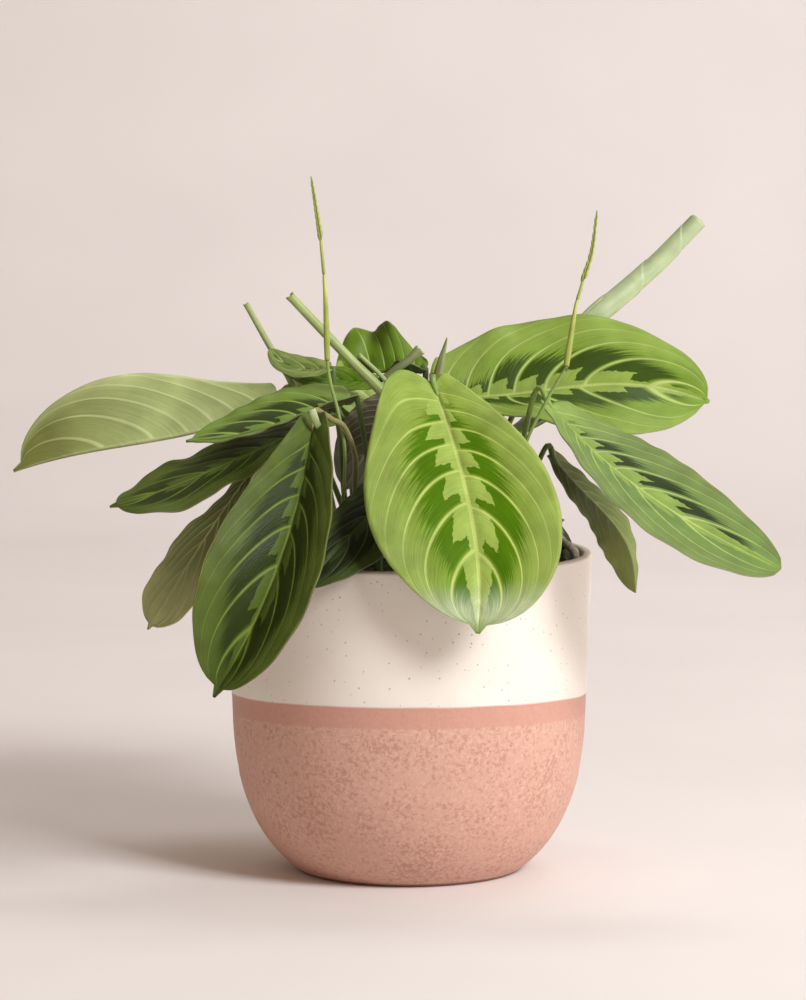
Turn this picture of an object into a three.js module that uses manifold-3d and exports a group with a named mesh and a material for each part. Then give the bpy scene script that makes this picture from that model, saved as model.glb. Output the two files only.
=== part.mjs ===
// A prayer plant (maranta) in a two-tone stoneware pot. Millimetres, +Z up, origin at the centre of the
// pot's foot, +X to the right and +Y away from whoever looks at the front leaf.
import * as THREE from 'three';
import { mergeVertices } from 'three/addons/utils/BufferGeometryUtils.js';
import Module from 'manifold-3d';

const wasm = await Module();
wasm.setup();

// Driving dimensions of the pot
const POT_HEIGHT = 133;
const RIM_RADIUS = 76;
const BOWL_RADIUS = 73.6;
const FOOT_RADIUS = 46;
const BELLY_HEIGHT = 62;
const WALL = 3.6;
const LIP = { height: 1.6, round: 0.5 };
const FLOOR = { thickness: 6, corner: 3 };
const POT_LEVELS = [8, 14, 22, 31, 43, BELLY_HEIGHT];
const POT_SIDES = 40;

// The potting soil, with a heap of bark against the back right of the rim
const GAP = 0.3;
const SOIL_INSET = 0.8;
const SOIL_LEVEL = 121;
const HEAP = { x: 60, y: 26, height: 21, spread: 10 };
const SOIL_BUMP = 1.1;
const SOIL_RINGS = [1, 0.9, 0.78, 0.64, 0.5, 0.35, 0.18];
const ROOT_DEPTH = 18;
const UPRIGHT = 18;

// Leaves and stalks
const BLADE_THICKNESS = 0.8;
const BLADE_CELLS = { across: 6, along: 11 };
const STALK_RADIUS = 1.25;
const STALK_SIDES = 6;
const STALK_STEPS = { plain: 12, arched: 18 };
const SHOOT_RADIUS = 1.2;
const FLOWER_RADII = { stem: 0.7, sheath: 1.3, top: 0.65, spike: 1.15 };

// The outline of a blade: a rounded heel and a full body, then a short drawn-out point
const HEEL = 0.07;
const BODY_END = 0.97;
const BODY_FULLNESS = 0.5;
const POINT = { from: 0.9, length: 0.07, width: 0.16, end: 0.02 };
const LOBE_LENGTH = 0.2;
const SECOND_SIDE_SHIFT = 0.37;
const SMALL_STEP = 1e-3;

const LEAF_GREEN = 0x5f8f2c;
const SHADE_GREEN = 0x2f4f1c;
const PALE_GREEN = 0xa9c07a;
const OLIVE = 0x7d7f4e;

// A leaf's midrib passes through four points, evenly spaced along it, from its base to its tip. Its
// upper side looks towards `face`. `half` is the widest reach of the left and of the right side, seen on
// the upper side with the tip up, `belly` says how far along that is, and `fold` raises each side by so
// many degrees at the base and at the tip. `foot` is where its stalk leaves the soil, and `neck` how far
// the stalk follows the midrib's line before the blade begins. `lobe` is how far each side reaches back
// past the base, and `end` how far along the body of a blunt blade ends, where it isn't at BODY_END.
const leaves = [
  {
    name: 'leaf_front', colour: LEAF_GREEN, foot: [12, -30], neck: 3, lobe: [3, 12],
    rib: [[10, -38, 205], [20, -66, 176], [26.5, -86, 145], [27, -96, 111]],
    face: [[-0.25, -0.8, 0.6], [-0.2, -1, 0.3], [-0.2, -1, 0.1]],
    half: [36.5, 41], belly: [0.67, 0.52], fold: [[10, 8], [12, 12]],
  },
  {
    name: 'leaf_right_upper', colour: LEAF_GREEN, foot: [16, 6], neck: 6, lobe: [3, 3],
    rib: [[10, 6, 198], [47, 4, 198], [84, 2, 202], [124, -4, 195]],
    face: [[0, -0.65, 0.75], [0.05, -0.65, 0.75], [0.3, -0.7, 0.7]],
    half: [33, 33], belly: [0.5, 0.72], fold: [[24, 14], [25, 0]], wave: [1.3, 2.6, 0.3], end: 0.99,
  },
  {
    name: 'leaf_right_lower', colour: LEAF_GREEN, foot: [38, -22], neck: 10, lobe: [3, 3],
    rib: [[57, -38, 196], [78, -56, 176], [106, -68, 156], [148, -74, 134]],
    face: [[0.5, -0.5, 0.75], [0.4, -0.6, 0.75], [0.1, -0.6, 0.75]],
    half: [25, 26], belly: [0.5, 0.66], fold: [[0, 16], [20, 10]], end: 1,
  },
  {
    name: 'leaf_right_hanging', colour: OLIVE, foot: [40, 16], neck: 6, lobe: [2, 2],
    rib: [[61, 26, 169], [78, 30, 150], [91, 32, 134], [96, 34, 111]],
    face: [[0.1, 0.9, 0.3], [0.1, 0.9, 0.3], [0.1, 0.9, 0.3]],
    half: [20, 17], belly: [0.66, 0.55], fold: [[45, 45], [88, 88]], wave: [1.5, 2, 0], end: 1,
  },
  {
    name: 'leaf_left_far', colour: PALE_GREEN, foot: [-24, 14], neck: 10, lobe: [3, 3],
    rib: [[-56, 14, 194], [-91, 8, 181], [-126, 4, 175], [-164, 0, 166]],
    face: [[0, 0.1, 1], [0, 0.1, 1], [0, 0.1, 1]],
    half: [30, 28], belly: [0.62, 0.62], fold: [[76, 76], [50, 50]],
  },
  {
    name: 'leaf_left_upper', colour: LEAF_GREEN, foot: [-12, -12], neck: 3, lobe: [2, 2],
    rib: [[-24, -16, 196], [-45, -22, 190], [-66, -26, 184], [-91, -28, 181]],
    face: [[0, -0.07, 1], [0, -0.07, 1], [0, -0.07, 1]],
    half: [20, 25], belly: [0.5, 0.45], fold: [[24, 0], [20, 20]],
  },
  {
    name: 'leaf_left_middle', colour: SHADE_GREEN, foot: [-25, -4], neck: 8, lobe: [2, 2],
    rib: [[-37, -18, 187], [-65, -28, 176], [-92, -38, 165], [-121, -46, 156]],
    face: [[0, -0.34, 1], [0, -0.34, 1], [0, -0.34, 1]],
    half: [19, 24], belly: [0.66, 0.6], fold: [[14, -10], [-6, -6]], wave: [1.2, 3, 0.2],
  },
  {
    name: 'leaf_left_hanging', colour: OLIVE, foot: [-36, -16], neck: 8, lobe: [1, 1],
    rib: [[-62, -26, 171], [-77, -36, 151], [-92, -43, 128], [-106, -46, 106]],
    face: [[1, 0.6, 0.4], [1, 0.6, 0.4], [1, 0.6, 0.4]],
    half: [15, 17], belly: [0.7, 0.7], fold: [[-10, -10], [0, 0]], wave: [1, 2.5, 0.2],
  },
  {
    name: 'leaf_front_left', colour: SHADE_GREEN, foot: [-20, -30], neck: 4, lobe: [1, 1],
    rib: [[-38, -58, 193], [-45, -80, 158], [-57, -93, 124], [-77, -98, 86]],
    face: [[-0.1, -0.8, 0.5], [-0.05, -1, 0.3], [0, -1, 0.1]],
    half: [25, 32], belly: [0.62, 0.68], fold: [[42, 42], [36, 36]],
    via: [[-22, -33, 163], [-22, -38, 176], [-26, -46, 188], [-31, -52, 192]],
  },
  {
    name: 'leaf_front_inner', colour: SHADE_GREEN, foot: [2, -22], neck: 6, lobe: [2, 2],
    rib: [[0, -29, 168], [-12, -49, 158], [-26, -66, 144], [-43, -80, 126]],
    face: [[0.25, -0.35, 0.9], [0.25, -0.35, 0.9], [0.25, -0.35, 0.9]],
    half: [19, 12], belly: [0.5, 0.5], fold: [[4, 4], [4, 4]], wave: [0.8, 2, 0],
  },
  {
    name: 'leaf_inner_small', colour: OLIVE, foot: [3, -6], neck: 5, lobe: [2, 2],
    rib: [[-4, 2, 194], [-11, 1, 184], [-19, 0, 172], [-27, -1, 158]],
    face: [[0.3, 0.8, 0.4], [0.3, 0.8, 0.4], [0.3, 0.8, 0.4]],
    half: [15, 15], belly: [0.5, 0.5], fold: [[8, 8], [8, 8]],
  },
  {
    name: 'leaf_top_wavy', colour: LEAF_GREEN, foot: [6, 23], neck: 2, lobe: [3, 3],
    rib: [[5, 28, 205], [-7, 30, 205], [-19, 32, 205], [-31, 33, 205.5]],
    face: [[0, -0.8, 0.6], [0, -0.8, 0.6], [0, -0.8, 0.6]],
    half: [10, 20.5], belly: [0.5, 0.6], fold: [[75, 75], [25, 25]], wave: [6, 1.9, 0.58], end: 1,
  },
  {
    name: 'leaf_top_left_curled', colour: PALE_GREEN, foot: [-6, 12], neck: 1.5, lobe: [1, 1],
    via: [[-20, 9.5, 174], [-29.5, 9.5, 191], [-31.5, 10.5, 203]],
    rib: [[-33, 11, 208], [-42, 11, 207.5], [-51, 11, 209.5], [-58, 11, 216]],
    face: [[0, -0.75, 0.65], [0, -0.75, 0.65], [0, -0.75, 0.65]],
    half: [5.5, 6], belly: [0.6, 0.5], fold: [[10, 10], [10, 10]], end: 1,
  },
  {
    name: 'leaf_top_left', colour: LEAF_GREEN, foot: [-14, 20], neck: 6, lobe: [1, 1],
    rib: [[-14, 19, 201.5], [-28, 19, 202.5], [-42, 19, 204.5], [-55, 19, 209.5]],
    face: [[0, -0.75, 0.65], [0, -0.75, 0.65], [0, -0.75, 0.65]],
    half: [6, 6.5], belly: [0.5, 0.45], fold: [[4, 4], [4, 4]], end: 1,
  },
  {
    name: 'leaf_back', colour: LEAF_GREEN, foot: [4, 34], neck: 8, lobe: [4, 4],
    rib: [[6, 46, 176], [10, 76, 176], [13, 103, 158], [13, 122, 128]],
    face: [[0, 0.4, 0.9], [0.1, 0.7, 0.7], [0.1, 1, 0.2]],
    half: [33, 33], belly: [0.52, 0.52], fold: [[12, 12], [12, 12]],
  },
  {
    name: 'leaf_back_left', colour: LEAF_GREEN, foot: [-22, 28], neck: 8, lobe: [3, 3],
    rib: [[-30, 42, 182], [-44, 68, 182], [-57, 92, 166], [-66, 110, 140]],
    face: [[-0.3, 0.3, 0.9], [-0.4, 0.6, 0.7], [-0.5, 0.9, 0.3]],
    half: [26, 26], belly: [0.52, 0.52], fold: [[14, 14], [14, 14]],
  },
  {
    name: 'leaf_back_right', colour: LEAF_GREEN, foot: [24, 32], neck: 8, lobe: [3, 3],
    rib: [[32, 42, 190], [48, 66, 203], [65, 90, 206], [84, 112, 198]],
    face: [[0.1, -0.1, 1], [0.1, 0, 1], [0.2, 0.2, 1]],
    half: [25, 25], belly: [0.52, 0.52], fold: [[14, 14], [14, 14]],
  },
  {
    name: 'leaf_back_upper', colour: LEAF_GREEN, foot: [-8, 30], neck: 8, lobe: [3, 3],
    rib: [[-12, 38, 184], [-20, 64, 194], [-30, 90, 192], [-42, 114, 180]],
    face: [[0, -0.1, 1], [0, 0.1, 1], [0, 0.3, 1]],
    half: [24, 24], belly: [0.52, 0.52], fold: [[10, 10], [10, 10]],
  },
  {
    name: 'leaf_right_back', colour: LEAF_GREEN, foot: [34, 26], neck: 8, lobe: [3, 3],
    rib: [[50, 38, 180], [74, 54, 189], [98, 68, 190], [122, 80, 183]],
    face: [[0.1, 0.2, 1], [0.2, 0.3, 1], [0.3, 0.4, 1]],
    half: [21, 21], belly: [0.52, 0.52], fold: [[10, 10], [10, 10]],
  },
];

// Other stems: each runs through its points, from the soil upwards
const rolledLeaf = {
  name: 'rolled_leaf', colour: PALE_GREEN, foot: [27, 14],
  via: [[38, 20, 175], [52, 25, 203]],
  roll: [[60, 27, 213], [79, 32, 229], [102, 40, 248], [122.5, 46, 268]],
  radii: [3.0, 4.8, 4.7, 4.0],
};
const youngShoot = {
  name: 'young_shoot', colour: OLIVE, foot: [14, -16],
  roll: [[12.5, -16, 170], [11.4, -16, 198], [13, -16, 212], [15.5, -16, 222.5]],
  radii: [1.7, 2.8, 2.4, 0.4],
};
const cutStalks = [
  { name: 'cut_stalk_thick', foot: [22, -8], via: [[14, -9, 170], [-10, -15, 199], [-23.5, -17, 213]],
    end: [-49, -18, 240], radius: 2.5, tip: 1.75 },
  { name: 'cut_stalk_left', foot: [-31, 27], via: [[-38, 28, 170], [-49, 28, 200], [-55, 28, 210]],
    end: [-68.5, 28, 234], radius: 2, tip: 1.15 },
  { name: 'cut_stalk_thin', foot: [28, 3], via: [[18, -4, 170], [-8, -10, 202.5]],
    end: [-21, -11, 215.5], radius: 1.1, tip: 0.9 },
];
const flowerStalks = [
  { name: 'flower_stalk_left', foot: [-28, -42],
    stem: [[-26, -43, 176], [-28.5, -42, 193], [-31.6, -42, 205], [-33, -42, 214]],
    sheath: [[-33, -42, 215], [-33.7, -42, 239]],
    top: [[-34.4, -41, 250], [-35.4, -41, 261]],
    spike: [[-35.6, -41, 264], [-37.6, -41, 277], [-39.5, -40, 289]] },
  { name: 'flower_stalk_right', foot: [40, -48],
    stem: [[46, -48, 178], [54.8, -48, 198], [59.6, -48, 206.5], [63, -48, 212]],
    sheath: [[63.2, -48, 213], [66.8, -46, 236]],
    top: [[67.7, -46, 240], [69.3, -45, 245]],
    spike: [[69.9, -45, 247.5], [73.4, -44, 259], [75.5, -44, 275.5]] },
];

const vec = (p) => new THREE.Vector3(...p);
const mix = (a, b, t) => a + (b - a) * t;
const clamp = THREE.MathUtils.clamp;

// A closed solid from a geometry's triangles, and a geometry from a solid
function solidOf(geometry) {
  const plain = geometry.clone();
  plain.deleteAttribute('normal');
  plain.deleteAttribute('uv');
  const merged = mergeVertices(plain, 1e-4);
  const corners = merged.index.array;
  const kept = [];
  for (let i = 0; i < corners.length; i += 3) {
    const [a, b, c] = corners.slice(i, i + 3);
    if (a !== b && b !== c && c !== a) kept.push(a, b, c);
  }
  return new wasm.Manifold(new wasm.Mesh({
    numProp: 3,
    vertProperties: new Float32Array(merged.attributes.position.array),
    triVerts: new Uint32Array(kept),
  }));
}

function geometryOf(solid) {
  const mesh = solid.getMesh();
  const geometry = new THREE.BufferGeometry();
  geometry.setAttribute('position', new THREE.BufferAttribute(new Float32Array(mesh.vertProperties), 3));
  geometry.setIndex(new THREE.BufferAttribute(new Uint32Array(mesh.triVerts), 1));
  return geometry;
}

function join(geometries) {
  return geometryOf(geometries.map(solidOf).reduce((a, b) => a.add(b)));
}

// A smooth curve through points, with evenly weighted corners
const through = (points) => new THREE.CatmullRomCurve3(points.map(vec), false, 'catmullrom', 0.5);

function ring(radius, sides) {
  const shape = new THREE.Shape();
  for (let i = 0; i < sides; i += 1) {
    const a = (2 * Math.PI * i) / sides;
    if (i === 0) shape.moveTo(radius * Math.cos(a), radius * Math.sin(a));
    else shape.lineTo(radius * Math.cos(a), radius * Math.sin(a));
  }
  return shape;
}

function tube(points, radius, steps, sides = STALK_SIDES) {
  return new THREE.ExtrudeGeometry(ring(radius, sides), { extrudePath: through(points), steps });
}

// A turned spindle of unit height whose radius passes through `radii`, bent along a curve
function spindle(points, radii, steps = 10, sides = 8) {
  const profile = [new THREE.Vector2(0, 0)];
  for (let i = 0; i <= steps; i += 1) {
    const at = (i / steps) * (radii.length - 1);
    const k = Math.min(Math.floor(at), radii.length - 2);
    profile.push(new THREE.Vector2(mix(radii[k], radii[k + 1], at - k), i / steps));
  }
  profile.push(new THREE.Vector2(0, 1));
  const lathe = new THREE.LatheGeometry(profile, sides);
  const curve = through(points);
  const frames = curve.computeFrenetFrames(steps, false);
  const place = lathe.attributes.position;
  for (let i = 0; i < place.count; i += 1) {
    const t = clamp(place.getY(i), 0, 1);
    const k = Math.round(t * steps);
    const point = curve.getPointAt(t)
      .addScaledVector(frames.normals[k], place.getX(i))
      .addScaledVector(frames.binormals[k], -place.getZ(i));
    place.setXYZ(i, point.x, point.y, point.z);
  }
  return lathe;
}

// The pot: a turned bowl with a nearly upright upper half, a flat foot and a rounded lip
function outerRadius(z) {
  const bowl = new THREE.CubicBezierCurve(
    new THREE.Vector2(FOOT_RADIUS + 1, 0.8),
    new THREE.Vector2(FOOT_RADIUS + 14, 10),
    new THREE.Vector2(BOWL_RADIUS - 1.5, 28),
    new THREE.Vector2(BOWL_RADIUS, BELLY_HEIGHT),
  );
  if (z >= BELLY_HEIGHT) {
    return mix(BOWL_RADIUS, RIM_RADIUS, (z - BELLY_HEIGHT) / (POT_HEIGHT - BELLY_HEIGHT));
  }
  let low = 0;
  let high = 1;
  for (let i = 0; i < 30; i += 1) {
    const t = (low + high) / 2;
    if (bowl.getPoint(t).y < z) low = t;
    else high = t;
  }
  return bowl.getPoint(low).x;
}

function potGeometry() {
  const lipFoot = POT_HEIGHT - LIP.height;
  const lipShoulder = POT_HEIGHT - LIP.round;
  const outside = [0.8, 4, ...POT_LEVELS, lipFoot].map((z) => [outerRadius(z), z]);
  const lip = [[RIM_RADIUS - LIP.round, lipShoulder], [RIM_RADIUS - WALL / 2, POT_HEIGHT],
    [RIM_RADIUS - WALL + LIP.round, lipShoulder], [RIM_RADIUS - WALL, lipFoot]];
  const inside = [...POT_LEVELS].reverse().map((z) => [outerRadius(z) - WALL, z]);
  const floor = [[outerRadius(FLOOR.thickness) - WALL - FLOOR.corner, FLOOR.thickness],
    [0, FLOOR.thickness]];
  const profile = [[0, 0], [FOOT_RADIUS, 0], ...outside, ...lip, ...inside, ...floor]
    .map(([r, z]) => new THREE.Vector2(r, z));
  return new THREE.LatheGeometry(profile, POT_SIDES).rotateX(Math.PI / 2);
}

// The soil fills the pot, a hair clear of its wall, with lumps on top and a hole for each stem
function soilHeight(x, y) {
  const away = (x - HEAP.x) ** 2 + (y - HEAP.y) ** 2;
  const heap = HEAP.height * Math.exp(-away / (2 * HEAP.spread ** 2));
  const lumps = Math.sin(0.31 * x + 1.3) * Math.cos(0.27 * y - 0.6) + 0.6 * Math.sin(0.53 * x - 0.47 * y);
  return SOIL_LEVEL + heap + SOIL_BUMP * lumps;
}

function soilGeometry(feet) {
  const inset = WALL + SOIL_INSET;
  const side = POT_LEVELS.map((z) => [outerRadius(z) - inset, z]);
  const top = SOIL_RINGS.map((s) => [(outerRadius(SOIL_LEVEL) - inset) * s, SOIL_LEVEL]);
  const bottom = [outerRadius(FLOOR.thickness) - inset - FLOOR.corner, FLOOR.thickness + GAP];
  const profile = [[0, bottom[1]], bottom, ...side, ...top, [0, SOIL_LEVEL]]
    .map(([r, z]) => new THREE.Vector2(r, z));
  const lathe = new THREE.LatheGeometry(profile, POT_SIDES).rotateX(Math.PI / 2);
  const place = lathe.attributes.position;
  for (let i = 0; i < place.count; i += 1) {
    if (place.getZ(i) > SOIL_LEVEL - 0.01) place.setZ(i, soilHeight(place.getX(i), place.getY(i)));
  }
  let soil = solidOf(lathe);
  for (const { foot: [x, y], radius } of feet) {
    const depth = ROOT_DEPTH + GAP + UPRIGHT;
    const hole = new THREE.CylinderGeometry(radius, radius, depth, 8).rotateX(Math.PI / 2);
    hole.translate(x, y, SOIL_LEVEL + UPRIGHT - depth / 2);
    soil = soil.subtract(solidOf(hole));
  }
  return geometryOf(soil);
}

// Half the width of a blade at t along it, as a share of its widest: round heel, full belly, short point
function widthShare(t, belly, end) {
  const k = Math.log(0.5) / Math.log(belly);
  const s = mix(HEEL, 1, clamp(t / end, 0, 1));
  const body = Math.max(Math.sin(Math.PI * s ** k), 0) ** BODY_FULLNESS;
  const point = POINT.end + POINT.width * clamp((1 - t) / POINT.length, 0, 1);
  return t > POINT.from ? Math.max(body, point) : body;
}

function midrib(leaf) {
  const [a, b, c, d] = leaf.rib.map(vec);
  const first = new THREE.Vector3().addScaledVector(a, -5).addScaledVector(b, 18)
    .addScaledVector(c, -9).addScaledVector(d, 2).divideScalar(6);
  const second = new THREE.Vector3().addScaledVector(a, 2).addScaledVector(b, -9)
    .addScaledVector(c, 18).addScaledVector(d, -5).divideScalar(6);
  return new THREE.CubicBezierCurve3(a, first, second, d);
}

// A point of the blade's middle surface: t from base to tip, v from the left edge, -1, to the right, 1
function bladePoint(leaf, rib, t, v) {
  const along = rib.getTangent(t);
  const faces = new THREE.QuadraticBezierCurve3(...leaf.face.map((f) => vec(f).normalize()));
  const up = faces.getPoint(t);
  up.addScaledVector(along, -up.dot(along)).normalize();
  const across = new THREE.Vector3().crossVectors(along, up);
  const side = v < 0 ? 0 : 1;
  const reach = leaf.half[side] * widthShare(t, leaf.belly[side], leaf.end ?? BODY_END) * Math.abs(v);
  const fold = THREE.MathUtils.degToRad(mix(...leaf.fold[side], t));
  const [height, count, phase] = leaf.wave ?? [0, 1, 0];
  const swing = Math.sin(2 * Math.PI * (count * t + phase + (side ? 0 : SECOND_SIDE_SHIFT)));
  const wave = height * v * v * swing * Math.sqrt(Math.sin(Math.PI * clamp(t, 0, 1)));
  const heel = clamp(1 - t / LOBE_LENGTH, 0, 1) ** 1.5;
  const back = leaf.lobe[side] * heel * Math.sin(0.75 * Math.PI * Math.abs(v));
  return rib.getPoint(t)
    .addScaledVector(across, reach * Math.cos(fold) * Math.sign(v))
    .addScaledVector(up, reach * Math.sin(fold) + wave)
    .addScaledVector(along, -back);
}

// Which way the blade's upper side looks at a point, with `inward` a small step towards one side of it
function sideNormal(leaf, rib, t, v, inward) {
  const onward = t > 0.99 ? -SMALL_STEP : SMALL_STEP;
  const here = bladePoint(leaf, rib, t, v);
  const sideways = bladePoint(leaf, rib, t, v + inward).sub(here).multiplyScalar(Math.sign(inward));
  const forward = bladePoint(leaf, rib, t + onward, v).sub(here).multiplyScalar(Math.sign(onward));
  return sideways.cross(forward).normalize();
}

// The blade as a thin closed shell, its two faces split into triangles alike. On the midrib the shell is
// as thick as halfway between its two sides, so that a sharply folded blade doesn't cross itself.
function bladeGeometry(leaf) {
  const { across, along } = BLADE_CELLS;
  const rib = midrib(leaf);
  const grid = new THREE.PlaneGeometry(2, 1, across, along);
  const flat = grid.attributes.position;
  const upper = [];
  const lower = [];
  for (let i = 0; i < flat.count; i += 1) {
    const v = flat.getX(i);
    const t = flat.getY(i) + 0.5;
    const here = bladePoint(leaf, rib, t, v);
    const normal = sideNormal(leaf, rib, t, v, v > SMALL_STEP ? -SMALL_STEP : SMALL_STEP);
    if (Math.abs(v) < SMALL_STEP) normal.add(sideNormal(leaf, rib, t, v, -SMALL_STEP)).normalize();
    normal.multiplyScalar(BLADE_THICKNESS / 2);
    upper.push(...here.clone().add(normal).toArray());
    lower.push(...here.clone().sub(normal).toArray());
  }
  const faces = [];
  const count = flat.count;
  const cells = grid.index.array;
  for (let i = 0; i < cells.length; i += 3) {
    const [a, b, c] = cells.slice(i, i + 3);
    faces.push(a, b, c, count + a, count + c, count + b);
  }
  const at = (row, column) => row * (across + 1) + column;
  const edge = [];
  for (let j = 0; j < across; j += 1) edge.push(at(0, j));
  for (let i = 0; i < along; i += 1) edge.push(at(i, across));
  for (let j = across; j > 0; j -= 1) edge.push(at(along, j));
  for (let i = along; i > 0; i -= 1) edge.push(at(i, 0));
  edge.forEach((a, i) => {
    const b = edge[(i + 1) % edge.length];
    faces.push(a, b, count + b, a, count + b, count + a);
  });
  const geometry = new THREE.BufferGeometry();
  geometry.setAttribute('position', new THREE.Float32BufferAttribute([...upper, ...lower], 3));
  geometry.setIndex(faces);
  return geometry;
}

// A stalk stands upright in its hole, then bends to meet what it carries
const rooted = ([x, y], rest) => [
  ...[-ROOT_DEPTH, 0, UPRIGHT / 2, UPRIGHT].map((z) => [x, y, SOIL_LEVEL + z]),
  ...rest,
];

function leafStalk(leaf) {
  const rib = midrib(leaf);
  const base = rib.getPoint(0);
  const before = rib.getTangent(0).multiplyScalar(-leaf.neck).add(base);
  const inside = rib.getPoint(0.05);
  const [x, y] = leaf.foot;
  const middle = [mix(x, before.x, 0.4), mix(y, before.y, 0.4), mix(SOIL_LEVEL, before.z, 0.55)];
  const via = leaf.via ?? [middle];
  return tube(rooted(leaf.foot, [...via, before.toArray(), base.toArray(), inside.toArray()]),
    STALK_RADIUS, leaf.via ? STALK_STEPS.arched : STALK_STEPS.plain);
}

const plant = new THREE.Group();
const feet = [];

function addNode(name, geometry, colour, roughness) {
  const material = new THREE.MeshStandardMaterial({ color: colour, roughness, metalness: 0 });
  const mesh = new THREE.Mesh(geometry, material);
  mesh.name = name;
  plant.add(mesh);
}

function addStem(name, foot, radius, geometry, colour) {
  feet.push({ foot, radius: (radius + GAP) / Math.cos(Math.PI / 8) });
  addNode(name, geometry, colour, 0.5);
}

for (const leaf of leaves) {
  addStem(leaf.name, leaf.foot, STALK_RADIUS, join([bladeGeometry(leaf), leafStalk(leaf)]), leaf.colour);
}

for (const shoot of [rolledLeaf, youngShoot]) {
  const stem = tube(rooted(shoot.foot, [...(shoot.via ?? []), shoot.roll[0], shoot.roll[1]]),
    SHOOT_RADIUS, STALK_STEPS.plain);
  const roll = spindle(shoot.roll, shoot.radii);
  addStem(shoot.name, shoot.foot, SHOOT_RADIUS, join([stem, roll]), shoot.colour);
}

for (const stalk of cutStalks) {
  const { name, foot, via, end, radius, tip } = stalk;
  const skin = spindle(rooted(foot, [...via, end]), [radius, radius, tip], STALK_STEPS.plain);
  addStem(name, foot, radius, geometryOf(solidOf(skin)), PALE_GREEN);
}

for (const { name, foot, stem, sheath, top, spike } of flowerStalks) {
  const r = FLOWER_RADII;
  const parts = [
    tube(rooted(foot, [...stem, sheath[0]]), r.stem, 10),
    tube([stem[3], ...sheath, top[0]], r.stem, 4),
    spindle(sheath, [r.stem, r.sheath, r.sheath, r.stem], 3, 6),
    tube([sheath[1], ...top, spike[0]], r.top, 4),
    spindle(spike, [0.4, r.spike, r.spike, 0.8, 0.2], 8, 6),
  ];
  addStem(name, foot, r.stem, join(parts), LEAF_GREEN);
}

addNode('pot', potGeometry(), 0xe9dccb, 0.45);
addNode('soil', soilGeometry(feet), 0x2a2018, 0.95);

export default plant;
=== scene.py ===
"""A prayer plant (maranta) in a two-tone stoneware pot: leaves with veins and blotches, stalks, spikes and soil."""

import functools
import math
import random

import bmesh
import bpy
import numpy as np
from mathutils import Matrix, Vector, noise


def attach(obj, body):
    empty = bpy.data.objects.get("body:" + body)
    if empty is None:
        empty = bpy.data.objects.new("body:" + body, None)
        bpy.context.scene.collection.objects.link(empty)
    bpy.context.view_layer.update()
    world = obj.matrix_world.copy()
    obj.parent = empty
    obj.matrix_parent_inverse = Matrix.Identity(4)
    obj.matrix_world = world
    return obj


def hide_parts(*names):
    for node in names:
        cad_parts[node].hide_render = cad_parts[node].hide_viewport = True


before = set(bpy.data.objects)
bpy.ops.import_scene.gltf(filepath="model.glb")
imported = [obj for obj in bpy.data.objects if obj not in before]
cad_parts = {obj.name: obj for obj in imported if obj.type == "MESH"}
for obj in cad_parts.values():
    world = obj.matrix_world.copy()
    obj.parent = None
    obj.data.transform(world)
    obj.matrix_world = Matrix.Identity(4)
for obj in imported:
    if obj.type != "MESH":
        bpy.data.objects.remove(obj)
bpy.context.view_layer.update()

MM = 0.001

# The pot, in millimetres. Its glaze line rises by the slope for each millimetre towards the viewer.
POT_HEIGHT = 133
RIM_RADIUS = 76
BOWL_RADIUS = 73.6
FOOT_RADIUS = 46
BELLY_HEIGHT = 62
BOWL_CURVE = [(FOOT_RADIUS + 1, 0.8), (FOOT_RADIUS + 14, 10), (BOWL_RADIUS - 1.5, 28), (BOWL_RADIUS, BELLY_HEIGHT)]
WALL = 3.6
FLOOR_THICKNESS = 6
GLAZE_LINE = 74
GLAZE_SLOPE = 0.056
GLAZE_PROUD = 0.25
BAND_HEIGHT = 8.7

# The soil: its heap is a place, a height and a spread. Stems go down into it and leave it upright.
SOIL_LEVEL = 121
SOIL_INSET = 0.8
HEAP = (60, 26, 21, 10)
ROOT_DEPTH = 18
UPRIGHT = 18

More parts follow.
